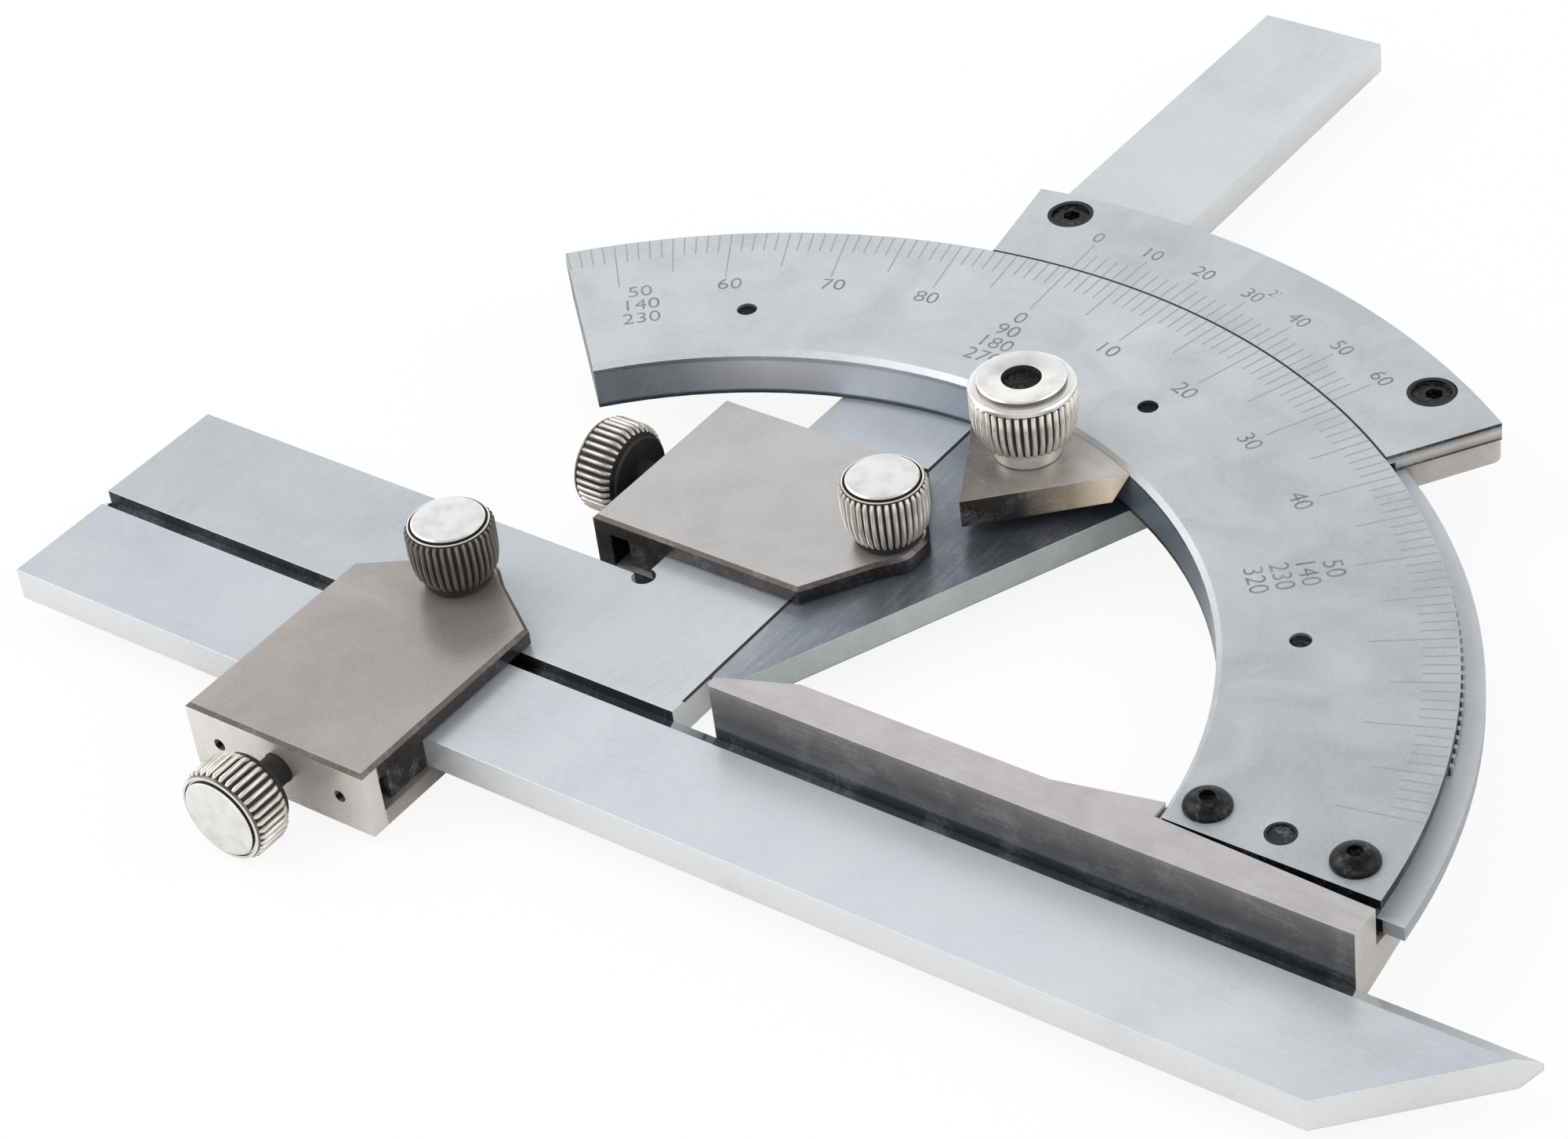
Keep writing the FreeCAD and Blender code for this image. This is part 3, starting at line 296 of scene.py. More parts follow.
def upright_faces(finish, sides, low_end, gaps):
    """The colour of a piece's upright faces. The values are those of steel."""
    blend = finish.graph.blend
    colour = finish.shade(sides["all"], finish.z)
    if "along X" in sides:
        colour = blend(1.0, colour, finish.shade(sides["along X"], finish.x), "MULTIPLY")
    for way, reach in (("front", finish.along * -1), ("right", finish.across), ("left", finish.across * -1)):
        if way in sides:
            colour = blend(reach.rises(*looks_aside), colour, finish.shade(sides[way], finish.z))
    if low_end:
        end_mm, end_code = low_end
        colour = blend((end_mm * MM - finish.y).rises(-end_blur, end_blur), colour, tint(end_code))
    if gaps:
        root, tip = gaps[0] * MM, gaps[1] * MM
        from_axis = (finish.x * finish.x + finish.y * finish.y).root()
        in_gap = from_axis.rises(root, root + line_blur) * (1 - from_axis.rises(tip - line_blur, tip))
        colour = blend(in_gap, colour, tint(tooth_gap_shade))
        colour = blend(from_axis.rises(tip, tip + line_blur), colour, tint(tooth_tip))
    return colour


grain_ways = {"X": (0.05, 1, 1), "Y": (1, 0.05, 1), None: (1, 1, 1)}
cloud_share, grain_share, speck_share = 5, 3, 0.1
stain = (0.05, 0.05, 0.06, 1)
wear_and_highlight_reach = (0.02, 0.25)
lapped_roughness = 0.12


def steel(name, top, sides, roughness=0.38, metallic=0.55, gloss=0.5, clouds=0.05, cloud_size=9.0,
          grain=0.25, grain_size=0.25, run=None, wear_and_highlight_width=0.12, edge="#E9EAEA", chamfer=None, bevel=None,
          low_end=None, gaps=None):
    """Ground steel with faint clouds from handling, a fine grain along run and edges blended towards
    the edge colour, partly wear and partly a painted highlight. All sizes are in mm. top has one
    colour, or a list of (place, colour) that shades it along X. sides gives the upright faces, where
    "all" counts for each, "front" (-Y), "right" (+X) and "left" (-X) override it with a colour or a
    list from low to high, and "along X" shades them by their place. chamfer is a colour painted on the
    slanted edges round the top, painted light and shade for the way they face, and bevel that of a
    slanted back edge that is lapped like a mirror. low_end is a place along Y and the colour of the
    upright faces in front of it. gaps is two radii, between which they are painted near black, a
    painted shade between teeth."""
    finish = Finish(name)
    graph = finish.graph
    across_grain = graph.node("ShaderNodeMapping", inputs={
        "Vector": finish.place, "Scale": [1000 / grain_size * share for share in grain_ways[run]]})
    cloud = finish.noise(1000 / cloud_size, 3.0, 0.55, 0.6) - 0.5
    grit = finish.noise(1.0, 3.0, 0.65, place=across_grain)
    fine = grit - 0.5
    speck = finish.noise(2600.0, 2.0) - 0.5
    colour = upright_faces(finish, sides, low_end, gaps)
    colour = graph.blend(finish.upward.size().rises(*looks_up), colour, finish.shade(top, finish.x))
    if chamfer:
        slanted = finish.upward.rises(*slope_starts) * (1 - finish.upward.rises(*slope_ends))
        colour = graph.blend(slanted, colour, tint(chamfer))
    marks = cloud * (clouds * cloud_share) + fine * (clouds * grain_share) + speck * speck_share
    colour = graph.blend((marks * -1).rises(0.0, 0.6), colour, stain, "MULTIPLY")
    colour = graph.blend(marks.rises(0.0, 0.7), colour, tint("#FFFFFF"))
    rounded = graph.node("ShaderNodeBevel", {"samples": 4}, {"Radius": wear_and_highlight_width * MM})
    flat = graph.node("ShaderNodeNewGeometry", output="Normal")
    turned = graph.node("ShaderNodeVectorMath", {"operation": "DOT_PRODUCT"}, {0: rounded, 1: flat}, "Value")
    # Painted highlight and wear: a band along the edges is blended half towards the edge colour.
    colour = graph.blend((1 - turned).rises(*wear_and_highlight_reach) * 0.5, colour, tint(edge))
    dull = fine * 0.12 + roughness + cloud * 0.1
    if bevel:
        lapped = finish.along.rises(*bevel_leans) * finish.upward.rises(*bevel_leans)
        colour = graph.blend(lapped, colour, tint(bevel))
        metallic = lapped * (1 - metallic) + metallic
        dull = dull - lapped * (roughness - lapped_roughness)
    return finish.finished({
        "Base Color": colour, "Metallic": metallic, "Roughness": dull, "Specular IOR Level": gloss,
        "Normal": finish.bump(grain, grit, Normal=rounded)})


def dress(material, *names):
    for name in names:
        nodes[name].data.materials.clear()
        nodes[name].data.materials.append(material)


# Painted reflection: what the arc's curved walls mirror, by their place along X, painted into their colour.
arc_painted_reflection = [
    (-34, "#5F6970"), (-27, "#A4A9AF"), (-20, "#F4F5F8"), (-14, "#EEF0F6"), (4, "#8C96A5"),
    (12, "#66717F"), (32, "#727982"), (40, "#AEB2B6"), (47, "#B6BABE"), (50, "#5A6066"), (60, "#42484E")]
# Painted light and shade: the top darker along X, the slanted top edge lighter, the walls with the painted
# reflection, and the upright faces in front of Y 8.5 mm near black as painted shadow.
satin_scale = steel(
    "satin_scale", [(-50, "#C6C9CC"), (20, "#C5C8CB"), (45, "#B8BCBF"), (66, "#B3B7BA")],
    {"all": "#DCDFE2", "along X": arc_painted_reflection}, roughness=0.44, clouds=0.07, cloud_size=7, wear_and_highlight_width=0.08,
    chamfer="#D4D7DA", low_end=(8.5, "#17181A"))
dress(satin_scale, "main_scale")

# Graduations of the main scale: lines cut every degree, filled with grey, longer at
# every fifth degree and longest at every tenth. They lie a hair above the face.

# The zero line stands this many degrees left of the frame's Y.
arc_turn = 1.84
scale_rim = 66.0
scale_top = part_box("main_scale")[1].z / MM
hair = 0.012
line_width = 0.13
rim_margin = 0.12


def filled_groove(name, colour, roughness=0.6, worn_to="#A9AEB1"):
    finish = Finish(name)
    wear = finish.noise(900.0, 3.0).rises(0.35, 0.75) * 0.55
    return finish.finished({
        "Base Color": finish.graph.blend(wear, tint(colour), tint(worn_to)), "Metallic": 0.2,
        "Roughness": roughness})


line_grey = filled_groove("line_grey", "#979CA0")
number_grey = filled_groove("number_grey", "#6E7276")
# Near black for grooves and joints: partly dirt, partly painted shade and painted shadow.
dirt_and_shade_fill = filled_groove("dirt_and_shade_fill", "#1E1B19", 0.7, "#3A3531")


def growing_tree(name, inputs):
    """An empty geometry tree with these named inputs, each with its kind of socket. It comes with
    its graph and the values that the inputs give."""
    tree = bpy.data.node_groups.new(name, "GeometryNodeTree")
    tree.interface.new_socket("Geometry", in_out="INPUT", socket_type="NodeSocketGeometry")
    for label, kind in inputs.items():
        tree.interface.new_socket(label, in_out="INPUT", socket_type="NodeSocket" + kind)
    tree.interface.new_socket("Geometry", in_out="OUTPUT", socket_type="NodeSocketGeometry")
    entry = tree.nodes.new("NodeGroupInput")
    return tree, Graph(tree), {socket.name: Value(tree, socket) for socket in entry.outputs if socket.name}


graduation_tree, plan, given = growing_tree("Graduation", {
    "Lines": "Int", "First line": "Int", "Step": "Float", "Turn": "Float", "Foot radius": "Float",
    "Outward": "Float", "Short": "Float", "Middle": "Float", "Long": "Float", "Middle every": "Int",
    "Long every": "Int", "Width": "Float", "Height": "Float", "Level": "Float", "Filling": "Material"})
number = plan.node("GeometryNodeInputIndex") + given["First line"]
angle = (number * given["Step"] + given["Turn"]) * (math.pi / 180)


def falls_on(every):
    left_over = number.maths("FLOORED_MODULO", number, every)
    return left_over.maths("LESS_THAN", left_over, 0.5)


reach = given["Short"] + (given["Middle"] - given["Short"]) * falls_on(given["Middle every"])
reach = reach + (given["Long"] - reach) * falls_on(given["Long every"])
radius = given["Foot radius"] + reach * given["Outward"] * 0.5
spot = plan.node("ShaderNodeCombineXYZ", inputs={
    0: angle.maths("SINE", angle) * radius, 1: angle.maths("COSINE", angle) * radius, 2: given["Level"]})
points = plan.node("GeometryNodePoints", inputs={"Count": given["Lines"], "Position": spot})
rod = plan.node("GeometryNodeMeshCube", inputs={
    "Size": plan.node("ShaderNodeCombineXYZ", inputs={0: given["Width"], 1: 1.0, 2: given["Height"]})})
turned_by = plan.node("ShaderNodeCombineXYZ", inputs={2: angle * -1})
drawn_out = plan.node("ShaderNodeCombineXYZ", inputs={0: 1.0, 1: reach, 2: 1.0})
lines = plan.node("GeometryNodeInstanceOnPoints", inputs={
    "Points": points, "Instance": rod, "Rotation": turned_by, "Scale": drawn_out})
lines = plan.node("GeometryNodeRealizeInstances", inputs={0: lines})
lines = plan.node("GeometryNodeSetMaterial", inputs={"Geometry": lines, "Material": given["Filling"]})
plan.node("NodeGroupOutput", inputs={0: lines})


def plain_mesh(item):
    """The mesh that an object comes to with its modifiers or its text worked out."""
    bpy.context.view_layer.update()
    return bpy.data.meshes.new_from_object(item.evaluated_get(bpy.context.evaluated_depsgraph_get()))


def grown(name, tree, start, **inputs):
    """Runs a geometry tree on a start mesh with these inputs and keeps the result as a plain mesh."""
    item = shown(name, start)
    modifier = item.modifiers.new(tree.name, "NODES")
    modifier.node_group = tree
    identifiers = {socket.name: socket.identifier for socket in tree.interface.items_tree
                   if socket.in_out == "INPUT"}
    for label, value in inputs.items():
        modifier[identifiers[label.replace("_", " ")]] = value
    made = plain_mesh(item)
    item.modifiers.clear()
    item.data = made
    return item


scale_lines = grown(
    "scale_lines", graduation_tree, bpy.data.meshes.new("scale_lines"), Lines=125, First_line=-44,
    Step=1.0, Turn=-arc_turn, Foot_radius=(scale_rim - rim_margin) * MM, Outward=-1.0, Short=3.0 * MM,
    Middle=5.7 * MM, Long=7.3 * MM, Middle_every=5, Long_every=10, Width=line_width * MM,
    Height=2 * hair * MM, Level=scale_top * MM, Filling=line_grey)
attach(scale_lines, "base")

# Numbers of the main scale: engraved in rows that stand outwards from the vertex, one
# row for each quadrant that the square and the blade can be set up to measure.

# A figure's height as a share of its font's size, and how much each stroke is thinned, in mm.
figure_share = 0.70
figure_thinning = 0.018
merge_reach = 0.0004


def mesh_from(shape, name, *materials):
    """A mesh from a shape in the making, which ends here."""
    mesh = bpy.data.meshes.new(name)
    shape.to_mesh(mesh)
    shape.free()
    for material in materials:
        mesh.materials.append(material)
    return mesh


def engraved(name, words, material):
    """Words as flat meshes. Each is text, radius, scale angle, level and figure height in mm."""
    shape = bmesh.new()
    for text, radius_mm, angle_deg, level_mm, figure_mm in words:
        curve = bpy.data.curves.new(name, "FONT")
        curve.body = text
        curve.size = figure_mm / figure_share * MM
        curve.align_x = "CENTER"
        curve.align_y = "CENTER"
        curve.offset = -figure_thinning * MM
        curve.extrude = hair * MM
        curve.resolution_u = 6
        carrier = shown(name, curve)
        mesh = plain_mesh(carrier)
        bearing = math.radians(angle_deg)
        spot_mm = Vector((radius_mm * math.sin(bearing), radius_mm * math.cos(bearing), level_mm))
        mesh.transform(Matrix.Translation(spot_mm * MM) @ Matrix.Rotation(-bearing, 4, "Z"))
        shape.from_mesh(mesh)
        bpy.data.objects.remove(carrier)
        bpy.data.meshes.remove(mesh)
    bmesh.ops.remove_doubles(shape, verts=shape.verts, dist=merge_reach * MM)
    return shown(name, mesh_from(shape, name, material))


number_height = 1.75
row_step = 2.25
first_row = 56.9
left_row_out = 0.4
scale_numbers = {
    -40: ["50", "140", "230"], -30: ["60"], -20: ["70"], -10: ["80"], 0: ["0", "90", "180", "270"],
    10: ["10"], 20: ["20"], 30: ["30"], 40: ["40"], 50: ["50", "140", "230", "320"],
}
beside_line = {-40: 1.9, -30: 0.5, -20: 0.5}
scale_words = []
for degree, rows in scale_numbers.items():
    bearing_deg = degree - arc_turn + beside_line.get(degree, 0.0)
    top_row = first_row + (left_row_out if degree < -15 else 0.0)
    for row, text in enumerate(rows):
        scale_words.append((text, top_row - row * row_step, bearing_deg, scale_top, number_height))
scale_figures = engraved("scale_figures", scale_words, number_grey)
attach(scale_figures, "base")

# Toothed carrier and guide rim: milled steel rings, left plain. The inner wall of the arc is
# turned, with fine turning marks; its blue-grey is a painted reflection along X, darker at its foot
# as painted shadow, with painted shade between the teeth. The rim's wall is near black at its top,
# a painted shadow under the vernier plate.

tooth_roots, tooth_tips = 62.0, 66.1
# Painted shadow: blue-grey at the foot of the wall; white above, to carry the painted reflection.
turned_arc = steel(
    "turned_arc", "#C6C9CC",
    {"all": [(4.85, "#445060"), (5.15, "#5E6A7A"), (5.4, "#F6F8FB"), (9.5, "#FFFFFF")], "along X": arc_painted_reflection},
    roughness=0.4, metallic=0.35, clouds=0.03, cloud_size=6, grain=0.3, grain_size=0.5, wear_and_highlight_width=0.05,
    gaps=(tooth_roots, tooth_tips))
dress(turned_arc, "gear_sector")
# Painted shadow: the wall near black at its top, under the edge of the vernier plate.
milled_rim = steel(
    "milled_rim", "#C6C4C2",
    {"all": [(1.6, "#C4BEBA"), (7.2, "#C1BBB8"), (7.5, "#2A2827"), (7.7, "#141414")]}, roughness=0.5,
    metallic=0.4, clouds=0.06, cloud_size=3, grain=0.5, grain_size=0.2)
dress(milled_rim, "guide_rim")

# Scale pins and dowel: hardened pins driven through the arc plate just below its face,
# painted near black as painted shade in their holes.

shaded_pin = steel(
    "shaded_pin", "#0C0D0F", {"all": "#121316"}, roughness=0.6, metallic=0.3, gloss=0.25, clouds=0.02,
    grain=0.2, wear_and_highlight_width=0.03, edge="#2A2C30")
dress(shaded_pin, "scale_pins")
worn_dowel = steel(
    "worn_dowel", "#2E2F32", {"all": "#1E1E20"}, roughness=0.5, metallic=0.4, gloss=0.25, clouds=0.06,
    cloud_size=1, wear_and_highlight_width=0.05, edge="#55565A")
dress(worn_dowel, "base_dowel")

# Base rule: hardened bar, ground on top and lapped on its front measuring face, which is
# painted as a painted reflection of the dark side of the room, near black at its foot as painted
# shadow in the joint with the blade. The arc lies in a rabbet at its right end.

# Painted reflection and painted shadow on the rule's front face, from low to high.
front_painted_reflection = [
    (3.6, "#19191B"), (4.85, "#363B40"), (5.05, "#66686E"), (5.5, "#66666A"), (6.4, "#5C5A5C"),
    (7.8, "#5C595A"), (8.7, "#63605F"), (9.8, "#7C7675")]
lapped_rule = steel(
    "lapped_rule", "#BFBBB9", {"all": "#6E6E70", "front": front_painted_reflection, "right": "#CFCBC7"},
    roughness=0.36, metallic=0.5, clouds=0.05, cloud_size=4, grain=0.35, grain_size=0.3, run="X")
dress(lapped_rule, "base_rule")

# Screws of the base rule: two black button heads with a socket, turned from bar and
# blackened. They clamp the arc to the shelf of the base rule.

crease_deg = 32


def lathe(name, profile, sides=64):
    """Turns a half section, given as (radius, level) in mm from bottom to top, about its own Z. A
    section that starts off the axis is closed into a ring."""
    shape = bmesh.new()
    rings = []
    for radius_mm, level_mm in profile:
        if radius_mm == 0:
            rings.append([shape.verts.new((0, 0, level_mm * MM))])
            continue
        ring = []
        for step in range(sides):
            bearing = 2 * math.pi * step / sides
            ring.append(shape.verts.new((
                radius_mm * math.cos(bearing) * MM, radius_mm * math.sin(bearing) * MM, level_mm * MM)))
        rings.append(ring)
    if profile[0][0] > 0:
        rings.append(rings[0])
    for low, high in zip(rings[:-1], rings[1:]):
        for step in range(sides):
            after = (step + 1) % sides
            corners = [low[step % len(low)], low[after % len(low)],
                       high[after % len(high)], high[step % len(high)]]
            shape.faces.new(list(dict.fromkeys(corners)))
    bmesh.ops.recalc_face_normals(shape, faces=shape.faces)
    return mesh_from(shape, name)


def smooth_turned(mesh):
    for polygon in mesh.polygons:
        polygon.use_smooth = True
    mesh.set_sharp_from_angle(angle=math.radians(crease_deg))


blackened = steel(
    "blackened", "#0C0D10", {"all": "#0A0B0D"}, roughness=0.34, metallic=0.1, gloss=0.22, clouds=0.02,
    cloud_size=1.5, grain=0.3, grain_size=0.15, wear_and_highlight_width=0.05, edge="#2A2B2F")
screw_low, screw_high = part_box("base_screws")
screw_y = (screw_low.y + screw_high.y) / 2
screw_reach = (screw_high.y - screw_low.y) / 2
button_radius = 2.05
button_profile = [
    (0.0, -0.6), (1.0, -0.6), (1.0, 0.0), (button_radius, 0.0), (button_radius, 0.22),
    (button_radius * 0.96, 0.42), (button_radius * 0.87, 0.66), (button_radius * 0.73, 0.88),
    (button_radius * 0.55, 1.04), (0.74, 1.12), (0.68, 1.12), (0.6, 0.62), (0.0, 0.55)]
button = lathe("button_head", button_profile)
both_buttons = bmesh.new()
for screw_x in (screw_low.x + screw_reach, screw_high.x - screw_reach):
    placed = button.copy()
    placed.transform(Matrix.Translation((screw_x, screw_y, scale_top * MM)))
    both_buttons.from_mesh(placed)
    bpy.data.meshes.remove(placed)
base_buttons = shown("base_button_screws", mesh_from(both_buttons, "base_button_screws", blackened))
smooth_turned(base_buttons.data)
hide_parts("base_screws")
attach(base_buttons, "base")

# Sector plate: ground flat, darker than the scale, with a fine straight grain from the
# grinding wheel. Its slanted right edge shows a pale greenish strip. Its top is painted lighter
# near the vertex and darker along X, a painted reflection, and its faces towards -X are near
# black, a painted shade in the joint with the square.

ground_sector = steel(
    "ground_sector", [(0, "#989EA4"), (7, "#767C85"), (18, "#686E77"), (40, "#5E646D")],
    {"all": "#B9BEBB", "left": "#1D2024"}, roughness=0.33, metallic=0.7, clouds=0.07, cloud_size=7,
    grain=0.5, grain_size=0.35, run="Y")
dress(ground_sector, "sector_plate")

# Vernier plate: satin like the scale, fixed on the guide rim by two black socket
# screws in counterbores. Its top is painted a little darker along X, a painted shade. Its upright
# faces, the bright cut face of its right end among them, are near black at the foot as painted
# shadow, with a band of painted highlight above and a dark band at the top edge.

# Painted shadow and painted highlight on the vernier's upright faces, from low to high.
vernier_painted_sides = [
    (7.7, "#141414"), (7.85, "#3A3835"), (8.0, "#9A9692"), (8.6, "#C4C1BE"), (9.0, "#9A9998"),
    (9.25, "#2A2927"), (9.5, "#2A2927")]
satin_vernier = steel(
    "satin_vernier", [(-15, "#C2C6C9"), (50, "#BABEC1")], {"all": vernier_painted_sides}, roughness=0.42,
    clouds=0.07, cloud_size=7, wear_and_highlight_width=0.08)
dress(satin_vernier, "vernier_plate")
dress(blackened, "vernier_screws", "guide_screws")

# Vernier graduations: thirty divisions over twenty-nine degrees, two minutes each,
# numbered every ten minutes from 0 to 60, with the reading step beside the 30.

vernier_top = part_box("vernier_plate")[1].z / MM
vernier_step = 29 / 30
vernier_margin = 0.28
vernier_lines = grown(
    "vernier_lines", graduation_tree, bpy.data.meshes.new("vernier_lines"), Lines=31, First_line=0,
    Step=vernier_step, Turn=-arc_turn, Foot_radius=(scale_rim + vernier_margin) * MM, Outward=1.0,
    Short=2.7 * MM, Middle=4.1 * MM, Long=4.1 * MM, Middle_every=5, Long_every=5, Width=line_width * MM,
    Height=2 * hair * MM, Level=vernier_top * MM, Filling=line_grey)
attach(vernier_lines, "sector")
minutes_row, minutes_height = 71.6, 1.6
step_row, step_height = 73.1, 1.1
vernier_words = []
for minutes in range(0, 61, 10):
    bearing_deg = minutes / 2 * vernier_step - arc_turn - 0.2
    vernier_words.append((str(minutes), minutes_row, bearing_deg, vernier_top, minutes_height))
beside_thirty = 30 / 2 * vernier_step - arc_turn + 0.9
vernier_words.append(("2'", step_row, beside_thirty, vernier_top, step_height))
vernier_figures = engraved("vernier_figures", vernier_words, number_grey)
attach(vernier_figures, "sector")

# Arc brake: milled wedge plate on a threaded stud, with a spacer below and the ribbed
# nut above. The plate is warm grey; its top is painted dark near the nut and lighter along X, and
# its cut faces dark at the left and light at the right, a painted reflection of the nut and the
# parts round it.

# Painted reflection on the brake plate's cut faces, dark near the nut and light further right.
brake_painted_reflection = [(8, "#1C1A1B"), (12.5, "#2E2B2B"), (16, "#A2998C"), (18.5, "#FFF6E6"), (23, "#A09A8E")]
milled_brake = steel(
    "milled_brake", [(3, "#5A5350"), (8, "#77706C"), (13, "#A69F99"), (18, "#C9C3BD"), (24, "#B8B1AB")],
    {"all": "#FFF8EA", "along X": brake_painted_reflection}, roughness=0.4, metallic=0.5, clouds=0.06, cloud_size=3,
    grain=0.4, grain_size=0.25, edge="#CFC8C0")
dress(milled_brake, "brake_plate")
# The spacer, the stud in the nut's bore and the pinion shaft get the same near black, a painted shade.
dress(shaded_pin, "brake_spacer", "brake_stud", "pinion_shaft")

# Ribbed nut of the brake: turned steel, chromed, with straight ribs rolled round the
# barrel, a collar below and a raised end face. The grooves and the bore are painted near black,
# partly dirt and partly painted shade.


def chrome(name, colour, roughness, dark=0.0):
    finish = Finish(name)
    patch = finish.noise(600.0, 4.0)
    fine = finish.noise(5000.0, 2.0)
    stained = finish.graph.blend(patch.rises(0.45, 0.8) * (0.35 + dark), tint(colour), tint("#8F877F"))
    return finish.finished({
        "Base Color": stained, "Metallic": 0.7, "Roughness": (patch - 0.5) * 0.2 + roughness,
        "Normal": finish.bump(0.15, fine)})


# Lit and shaded copies of one chrome: the two darker ones are painted shade, for knobs that lie in shade or
# mirror dark parts, and for the walls of raised end faces.
bright_chrome = chrome("bright_chrome", "#ECEAE7", 0.24)
rib_chrome = chrome("rib_chrome", "#E2DDD5", 0.3, dark=0.1)
shaded_chrome = chrome("shaded_chrome", "#C8C3BD", 0.32, dark=0.2)
deep_shaded_chrome = chrome("deep_shaded_chrome", "#6F6963", 0.3, dark=0.2)

rib_tree, plan, given = growing_tree("Ribs", {"Rib": "Object", "Count": "Int", "Finish": "Material"})
rib_shape = plan.node("GeometryNodeObjectInfo", inputs={"Object": given["Rib"]}, output="Geometry")
rib_angle = plan.node("GeometryNodeInputIndex") / given["Count"] * (2 * math.pi)
rib_points = plan.node("GeometryNodePoints", inputs={"Count": given["Count"]})
rib_ring = plan.node("GeometryNodeInstanceOnPoints", inputs={
    "Points": rib_points, "Instance": rib_shape,
    "Rotation": plan.node("ShaderNodeCombineXYZ", inputs={2: rib_angle})})
rib_ring = plan.node("GeometryNodeRealizeInstances", inputs={0: rib_ring})
rib_ring = plan.node("GeometryNodeSetMaterial", inputs={"Geometry": rib_ring, "Material": given["Finish"]})
ring_and_body = plan.node("GeometryNodeJoinGeometry", inputs={0: rib_ring})
wire(rib_tree, ring_and_body.output.node.inputs[0], given["Geometry"])
plan.node("NodeGroupOutput", inputs={0: ring_and_body})

# The outline across a rib, as shares of its width and its depth.
rib_section = [(-0.5, -1.0), (-0.42, -0.35), (-0.2, 0.0), (0.2, 0.0), (0.42, -0.35), (0.5, -1.0)]
end_sinks = 0.9
core_in = 0.3
bore_reach = 1.9
end_reach = 2.2


def rib_bar(name, path, width, depth):
    """One half-round rib that follows a side line, given as (radius, level) in mm."""
    shape = bmesh.new()
    rows = []
    for place, (radius_mm, level_mm) in enumerate(path):
        sunk = depth * end_sinks if place in (0, len(path) - 1) else 0.0
        rows.append([
            shape.verts.new(((radius_mm - sunk + rise * depth) * MM, side * width * MM, level_mm * MM))
            for side, rise in rib_section])
    for low, high in zip(rows[:-1], rows[1:]):
        for step in range(len(rib_section) - 1):
            shape.faces.new((low[step], low[step + 1], high[step + 1], high[step]))
    made = mesh_from(shape, name)
    for polygon in made.polygons:
        polygon.use_smooth = True
    return made


def core_of(side):
    """The turned core behind the ribs, a little inside their side line."""
    return [(radius_mm - core_in, level_mm) for radius_mm, level_mm in side]


def ribbed(name, profile, side, rib_count, rib_width, rib_depth, finish, ring=(0, 0)):
    """A turned body in chrome with ribs along a side line. The core behind the ribs, the bore or
    shank, the foot and a ring on the end face, given as its two radii in mm, are painted near black,
    partly dirt and partly painted shade. The wall of the raised end face gets a darker chrome, a
    painted shade."""
    body = lathe(name, profile, 96)
    for material in (bright_chrome, dirt_and_shade_fill, deep_shaded_chrome):
        body.materials.append(material)
    foot, head = side[0][1], side[-1][1]
    top = max(level_mm for radius_mm, level_mm in profile)
    for polygon in body.polygons:
        level = polygon.center.z / MM
        reach = math.hypot(polygon.center.x, polygon.center.y) / MM
        upright = abs(polygon.normal.z) < 0.6
        behind_ribs = upright and foot - 0.05 < level < head + 0.05
        under_rim = head < level < head + 0.12 and reach > side[-1][0] - 0.35
        below_ribs = level < 0 or foot - 0.12 < level < foot
        in_bore = upright and reach < bore_reach
        in_ring = ring[0] < reach < ring[1] and level > top - 0.75
        end_wall = upright and reach > end_reach and top - 0.5 < level < top - 0.1
        # Near black, partly dirt and partly painted shade, in the grooves, bore, shank, foot and end ring.
        dirt_and_shade = behind_ribs or under_rim or below_ribs or in_bore or in_ring
        polygon.material_index = 1 if dirt_and_shade else 2 if end_wall else 0
    smooth_turned(body)
    rib = shown(name + "_rib", rib_bar(name + "_rib", side, rib_width, rib_depth))
    item = grown(name, rib_tree, body, Rib=rib, Count=rib_count, Finish=finish)
    bpy.data.objects.remove(rib)
    return item


nut_low, nut_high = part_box("brake_nut")
nut_tall = (nut_high.z - nut_low.z) / MM
nut_bore = 1.75
nut_collar = 3.1
nut_rim = 4.85
nut_side = [
    (3.75, 1.6), (4.3, 2.15), (4.5, 2.8), (4.75, 3.6), (nut_rim, 4.6), (nut_rim, nut_tall - 1.35),
    (4.8, nut_tall - 1.25)]
nut_foot = [(nut_bore, 0.0), (2.95, 0.0), (nut_collar, 0.12), (nut_collar, 1.35), (3.0, 1.5)]
nut_head = [
    (4.7, nut_tall - 1.2), (nut_rim, nut_tall - 1.05), (nut_rim, nut_tall - 0.75), (4.7, nut_tall - 0.58),
    (4.4, nut_tall - 0.5), (4.3, nut_tall - 0.5), (4.05, nut_tall - 0.5), (4.02, nut_tall - 0.12),
    (3.88, nut_tall), (2.0, nut_tall), (1.82, nut_tall - 0.08), (nut_bore, nut_tall - 0.25)]
nut_profile = nut_foot + core_of(nut_side) + nut_head
brake_nut = ribbed(
    "ribbed_nut", nut_profile, nut_side, rib_count=40, rib_width=0.46, rib_depth=0.32, finish=rib_chrome)
nut_place = next(Vector(joint["pos_m"]) for joint in frame["joints"] if joint["name"] == "nut_turn")
nut_place.z = nut_low.z
brake_nut.data.transform(Matrix.Translation(nut_place))
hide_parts("brake_nut")
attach(brake_nut, "nut")

# Knobs of the clamps: the ribbed heads of the two top screws and the two side screws,
# turned like the nut but closed. The thumb wheel below the sector has the same chrome.


